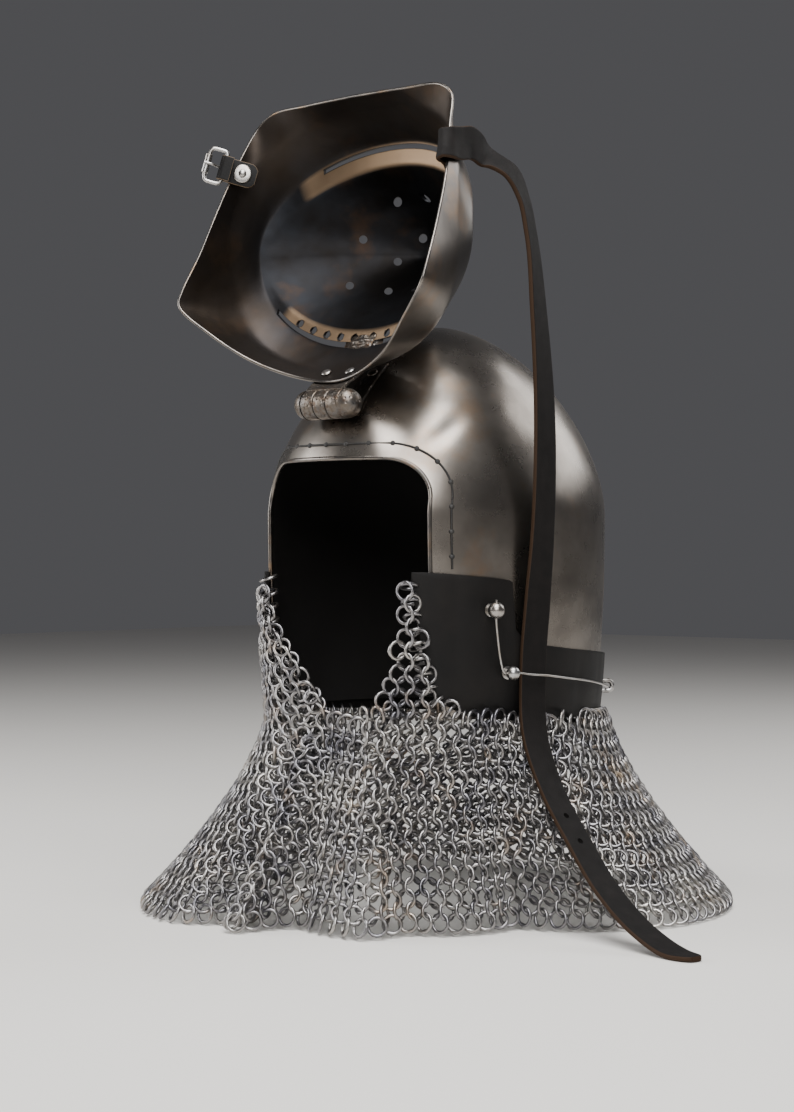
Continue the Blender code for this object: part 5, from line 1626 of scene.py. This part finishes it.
# The strap's loop over the visor's edge. Columns: distance from the edge into the visor's wall, out from
# the wall and along the edge, as shares of the strap's width, then the direction across it.
STRAP_LOOP = (
    (0.83, -0.535, 0.635, -0.2, 0.4, 1),
    (0.43, -0.36, 0.475, -0.2, 0.4, 1),
    (0.06, -0.235, 0.31, -0.2, 0.4, 1),
    (-0.215, -0.17, 0.205, -0.2, 0.4, 1),
    (-0.385, 0.01, 0.13, -0.2, 0.4, 1),
    (-0.21, 0.195, 0.18, -0.2, 0.4, 1),
    (0.08, 0.23, 0.32, -0.15, 0.4, 1),
    (0.425, 0.24, 0.53, -0.1, 0.42, 1),
    (0.81, 0.255, 0.78, 0, 0.46, 1),
    (1.19, 0.26, 0.875, -0.1, 0.6, 0.9),
    (1.61, 0.26, 0.865, -0.2, 0.85, 0.65),
)
# Its fall beside the skull. Columns: angle, share of the way down to the wire, distance out from the
# skull as a share of its half width, then the direction across.
STRAP_FALL = (
    (65.4, 0.022, 0.1, -0.25, 1, 0.35),
    (68.7, 0.066, 0.105, -0.35, 1, 0.12),
    (71, 0.136, 0.112, -0.35, 1, 0),
    (73.2, 0.289, 0.125, -0.2, 1, 0),
    (75.6, 0.515, 0.118, 0, 1, 0),
    (76.1, 0.735, 0.081, 0.1, 1, 0),
    (75.4, 0.862, 0.062, 0.22, 1, 0),
    (74.8, 1, 0.054, 0.24, 1, 0),
)
# Its way out over the mail. Columns: angle, height as a share of the flare's start, distance out from
# the mail as a share of the hem's radius, then the direction across.
STRAP_SPREAD = (
    (73.4, 0.936, 0.04, 0.22, 1, 0),
    (73.3, 0.696, 0.084, 0.15, 1, 0),
    (73.3, 0.472, 0.157, 0.15, 1, 0),
    (73, 0.232, 0.254, 0.2, 1, 0),
    (72.9, 0.072, 0.382, 0.25, 1, 0),
    (73, 0, 0.488, 0.3, 1, 0),
    (73.1, 0, 0.565, 0.3, 1, 0),
)


@dataclass
class Strap:
    """The visor's strap: over its edge, down beside the skull, behind the wire, out over the mail."""

    visor: VisorForm
    mail: MailForm
    finishes: Finishes
    width: float = 20 * MM
    thickness: float = 3 * MM
    loop_deg: float = 108
    tip: float = 24 * MM
    hole_radius: float = 2 * MM
    first_hole: float = 120 * MM
    hole_pitch: float = 19 * MM
    holes: int = 2

    def _centres(self) -> Array:
        """The middle line's places, row by row of the three tables."""
        skull, band = self.mail.band.skull, self.mail.band
        loop = [self.visor.by_edge(self.loop_deg, *(np.array(row[:3]) * self.width)) for row in STRAP_LOOP]
        high = self.visor.by_edge(self.loop_deg, 0, 0, 0)[2]
        low = band.rear_bottom_z + band.span * VERVELLES[1][2]
        fall = []
        for angle, share, out, *_ in STRAP_FALL:
            z = high + (low - high) * share
            spot = skull.point(math.radians(angle), min(z, skull.widest_z), out * skull.half_width)
            fall.append(spot * (1, 1, 0) + np.array((0, 0, z)))
        spread = []
        for angle, share, out, *_ in STRAP_SPREAD:
            z = max(share * self.mail.flare_z, self.thickness / 2 + SEAT_GAP)
            spot = self.mail.point(np.radians([angle]), np.array([z]))[0] * (1, 1, 0)
            reach = 1 + out * self.mail.hem_radius / np.linalg.norm(spot)
            spread.append(spot * reach + np.array((0, 0, z)))
        return np.array(loop + fall + spread)

    def build(self) -> None:
        """One strip with a rounded tip, and its holes drilled across it."""
        course = np.array(STRAP_LOOP + STRAP_FALL + STRAP_SPREAD, float)
        centres = self._centres()
        knots = walked(centres)
        length = knots[-1]
        tip = length - self.tip * np.linspace(1, 0.01, 24) ** 1.6
        at = np.unique(np.concatenate([np.linspace(0, length, 260), tip]))
        middle = smooth_at(knots, centres, at)
        across = smooth_at(knots, course[:, 3:], at)
        left = np.clip((length - at) / self.tip, 0, 1)
        width = self.width * (0.3 + 0.7 * np.sqrt(1 - (1 - left) ** 2))
        strap = strip("hide_strap", middle, across, width, self.thickness, (self.finishes.strap,))
        cuts = []
        for i in range(self.holes):
            place = length - self.first_hole - i * self.hole_pitch
            spot = smooth_at(knots, centres, place)[0]
            ahead = smooth_at(knots, centres, place + MM)[0] - spot
            side = smooth_at(knots, course[:, 3:], place)[0]
            deep = 2 * self.thickness
            profile = [(0, -deep), (self.hole_radius, -deep), (self.hole_radius, deep), (0, deep)]
            way = np.cross(ahead, side)
            cuts.append(lathe(f"hole_{i}", profile, spot, way, (self.finishes.strap,), 20))
        cutter = joined("strap_holes", cuts)
        drill = strap.modifiers.new("holes", "BOOLEAN")
        drill.object = cutter
        settle(strap, 50)
        bpy.data.objects.remove(cutter, do_unlink=True)
        placed(strap, "strap_leather", "visor_strap")


@dataclass
class Buckle:
    """The buckle on its folded tab, on the wearer's right of the raised visor."""

    visor: VisorForm
    finishes: Finishes
    turn_deg: float = -113.5
    into: float = 2.7 * MM
    out: float = -6.2 * MM
    along: tuple[float, float, float] = (-0.7, -0.6, 0.26)
    face: tuple[float, float, float] = (0.66, -0.75, 0.0)
    tab_width: float = 16 * MM
    tab_thickness: float = 2.2 * MM
    tab_length: float = 21 * MM
    tab_root: float = 9 * MM
    wire: float = 1.3 * MM
    width: float = 22 * MM
    length: float = 12 * MM
    roller: float = 2.3 * MM
    prong: float = 1 * MM
    washer: float = 6 * MM
    washer_thickness: float = 1.2 * MM
    rivet: float = 2.6 * MM

    def build(self) -> None:
        """Builds the tab, the frame with its roller and prong, and the washer and rivet."""
        along = unit(np.array(self.along))
        face = np.array(self.face)
        face = unit(face - along * face.dot(along))
        across = np.cross(along, face)
        place = self.visor.by_edge(self.turn_deg, self.into, self.out, 0)

        def at(reach: float, rise: float, side: float = 0.0) -> Array:
            """A place along the tab, above its face and to its side."""
            return place + along * reach + face * rise + across * side

        nickel = (self.finishes.nickel,)
        bar = self.tab_length - self.tab_root
        loop = self.wire + SEAT_GAP + self.tab_thickness / 2
        lift = loop + 0.2 * MM
        turns = np.linspace(-0.5 * math.pi, 0.45 * math.pi, 20)
        path = [at(r, 0) for r in np.linspace(-self.tab_root, bar - 3 * MM, 14)]
        path += [at(bar + loop * math.cos(t), lift + loop * math.sin(t)) for t in turns]
        path += [at(bar - 4.5 * MM, lift + 0.9 * loop)]
        path = np.array(path)
        width = np.full(len(path), self.tab_width)
        width[:4] = self.tab_width * np.array((0.6, 0.82, 0.94, 0.99))
        tab = strip("hide_tab", path, np.tile(across, (len(path), 1)), width, self.tab_thickness,
                    (self.finishes.hide,))
        placed(tab, "black_leather", "buckle_tab")

        half = self.width / 2
        far = bar + self.length
        turns = np.linspace(0, 2 * math.pi, 72, endpoint=False)
        # A rounded rectangle as a superellipse of power 5
        power = 2 / 5
        reach = (bar + far) / 2 + (far - bar) / 2 * np.sign(np.cos(turns)) * np.abs(np.cos(turns)) ** power
        side = half * np.sign(np.sin(turns)) * np.abs(np.sin(turns)) ** power
        loop_path = np.array([at(r, lift, s) for r, s in zip(reach, side)])
        frame = tube("buckle_loop", loop_path, self.wire, nickel, 14, closed=True)
        placed(frame, "nickel_steel", "buckle_frame")
        sleeve = half - 4.5 * MM
        soft = 0.5 * MM
        bore = self.wire + RUNNING_GAP
        rim = self.roller - soft
        profile = [(bore, -sleeve), (rim, -sleeve), (self.roller, soft - sleeve)]
        profile += [(self.roller, sleeve - soft), (rim, sleeve), (bore, sleeve), (bore, -sleeve)]
        roller = lathe("buckle_sleeve", profile, at(far, lift), across, nickel, 28)
        placed(roller, "nickel_steel", "buckle_roller")
        head = lift + self.roller + 1.2 * MM
        line = np.array([at(bar + 4.2 * MM, lift + 0.2 * MM), at(bar + 6 * MM, lift + 1.6 * MM),
                         at(far - 3 * MM, head), at(far + 1.5 * MM, head)])
        fine = smooth_at(np.arange(4), line, np.linspace(0, 3, 24))
        taper = self.prong * np.linspace(1, 0.75, 24)
        placed(tube("buckle_tongue", fine, taper, nickel, 12), "nickel_steel", "buckle_prong")
        rise = self.tab_thickness / 2 + SEAT_GAP
        thick = self.washer_thickness
        rows = [(0, rise), (self.washer, rise), (self.washer, rise + 0.5 * thick),
                (0.94 * self.washer, rise + 0.85 * thick), (0.84 * self.washer, rise + thick),
                (0.3 * self.washer, rise + 0.8 * thick), (0, rise + 0.8 * thick)]
        placed(lathe("tab_disc", rows, place, face, nickel, 40), "nickel_steel", "tab_washer")
        rows = dome(self.rivet, 1.6 * MM, rise + thick + SEAT_GAP)
        placed(lathe("tab_rivet_head", rows, place, face, nickel, 32), "nickel_steel", "tab_rivet")


@dataclass
class Studio:
    """The pale floor, the soft lights and the camera at the photograph's angle."""

    axis: Array
    finishes: Finishes
    azimuth_deg: float = 40
    distance: float = 1.4
    aside: float = 28 * MM
    height: float = 229 * MM
    lens: float = 67.98
    world_strength: float = 0.3
    floor_drop: float = 0.2 * MM
    # Columns: name, place round the helmet (side, back, up), size, power in watts
    lights: tuple = (
        ("key_softbox", (1.3, -1.5, 1.3), 1.0, 36),
        ("fill_softbox", (-1.6, -1.1, 0.8), 1.2, 30),
        ("rim_softbox", (0.6, 1.6, 1.3), 1.2, 16),
        ("top_softbox", (0.35, -0.45, 1.6), 1.0, 40),
    )

    def build(self) -> None:
        """Sets the world, the floor, the lights and the camera."""
        scene = bpy.context.scene
        world = bpy.data.worlds.new("studio")
        world.use_nodes = True
        background = world.node_tree.nodes["Background"]
        background.inputs["Color"].default_value = linear(Tone.STUDIO)
        background.inputs["Strength"].default_value = self.world_strength
        scene.world = world
        self._floor()
        middle = self.axis + (0, 0, 0.25)
        for name, place, size, watts in self.lights:
            light = bpy.data.lights.new(name, "AREA")
            light.size = size
            light.energy = watts
            lamp = bpy.data.objects.new(name, light)
            lamp.location = self.axis + place
            lamp.rotation_euler = self._aim(middle - (self.axis + place))
            scene.collection.objects.link(lamp)
        self._camera()

    def _aim(self, way: Array) -> tuple[float, float, float]:
        """The turns that point a light's or a camera's -Z along a direction."""
        flat = math.hypot(way[0], way[1])
        return math.pi / 2 + math.atan2(way[2], flat), 0.0, math.atan2(way[1], way[0]) - math.pi / 2

    def _floor(self) -> None:
        """The floor: a wide level sheet, just under the helmet's foot."""
        reach = np.linspace(-4, 4, 9)
        points = np.stack(np.broadcast_arrays(reach[None], reach[:, None], -self.floor_drop), -1)
        floor = surface("studio_floor", points, materials=(self.finishes.floor,))

    def _camera(self) -> None:
        """The camera: level, at the photograph's angle round the helmet."""
        turn = math.radians(self.azimuth_deg)
        back = np.array((math.sin(turn), -math.cos(turn), 0))
        right = np.array((math.cos(turn), math.sin(turn), 0))
        data = bpy.data.cameras.new("camera")
        data.sensor_fit = "VERTICAL"
        data.sensor_height = 36
        data.lens = self.lens
        camera = bpy.data.objects.new("camera", data)
        camera.location = self.axis + back * self.distance - right * self.aside + (0, 0, self.height)
        camera.rotation_euler = (math.pi / 2, 0, turn)
        bpy.context.scene.collection.objects.link(camera)
        bpy.context.scene.camera = camera


def helmet_axis(skull: SkullForm) -> Array:
    """Where the helmet's upright axis stands in the row frame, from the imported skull's box.

    Args:
        skull: The skull's sizes.

    Returns:
        The axis at floor height.
    """
    low, high = (np.array(corner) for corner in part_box("skull"))
    return np.array(((low[0] + high[0]) / 2, high[1] - skull.half_depth, 0.0))


def main() -> None:
    """Builds the helmet's pieces in order, then the studio."""
    logging.basicConfig(level=logging.INFO, format="%(name)s %(message)s")
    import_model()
    skull = SkullForm()
    visor = VisorForm()
    band = BandForm(skull)
    mail = MailForm(band)
    axis = helmet_axis(skull)
    finishes = Finishes()
    Studio(axis, finishes).build()
    before = set(bpy.data.objects)
    for maker in (
        Skull(skull, finishes),
        Visor(visor, finishes),
        Hinge(skull, visor, finishes),
        Band(band, finishes),
        Vervelles(band, finishes),
        Mail(mail, finishes),
        Strap(visor, mail, finishes),
        Buckle(visor, finishes),
    ):
        maker.build()
        LOG.info("built %s", type(maker).__name__)
    shift_to_axis([o for o in bpy.data.objects if o not in before and o.type == "MESH"], axis)
    bpy.context.view_layer.update()


def shift_to_axis(pieces: Sequence[bpy.types.Object], axis: Array) -> None:
    """Moves the pieces' own meshes from round the helmet's axis to its place in the row frame.

    Args:
        pieces: The new pieces.
        axis: The helmet's axis.
    """
    for piece in pieces:
        moved = listed(piece.data.vertices, "co", np.float32, 3).reshape(-1, 3) + axis.astype(np.float32)
        piece.data.vertices.foreach_set("co", moved.ravel())
        piece.data.update()


if __name__ == "__main__":
    main()
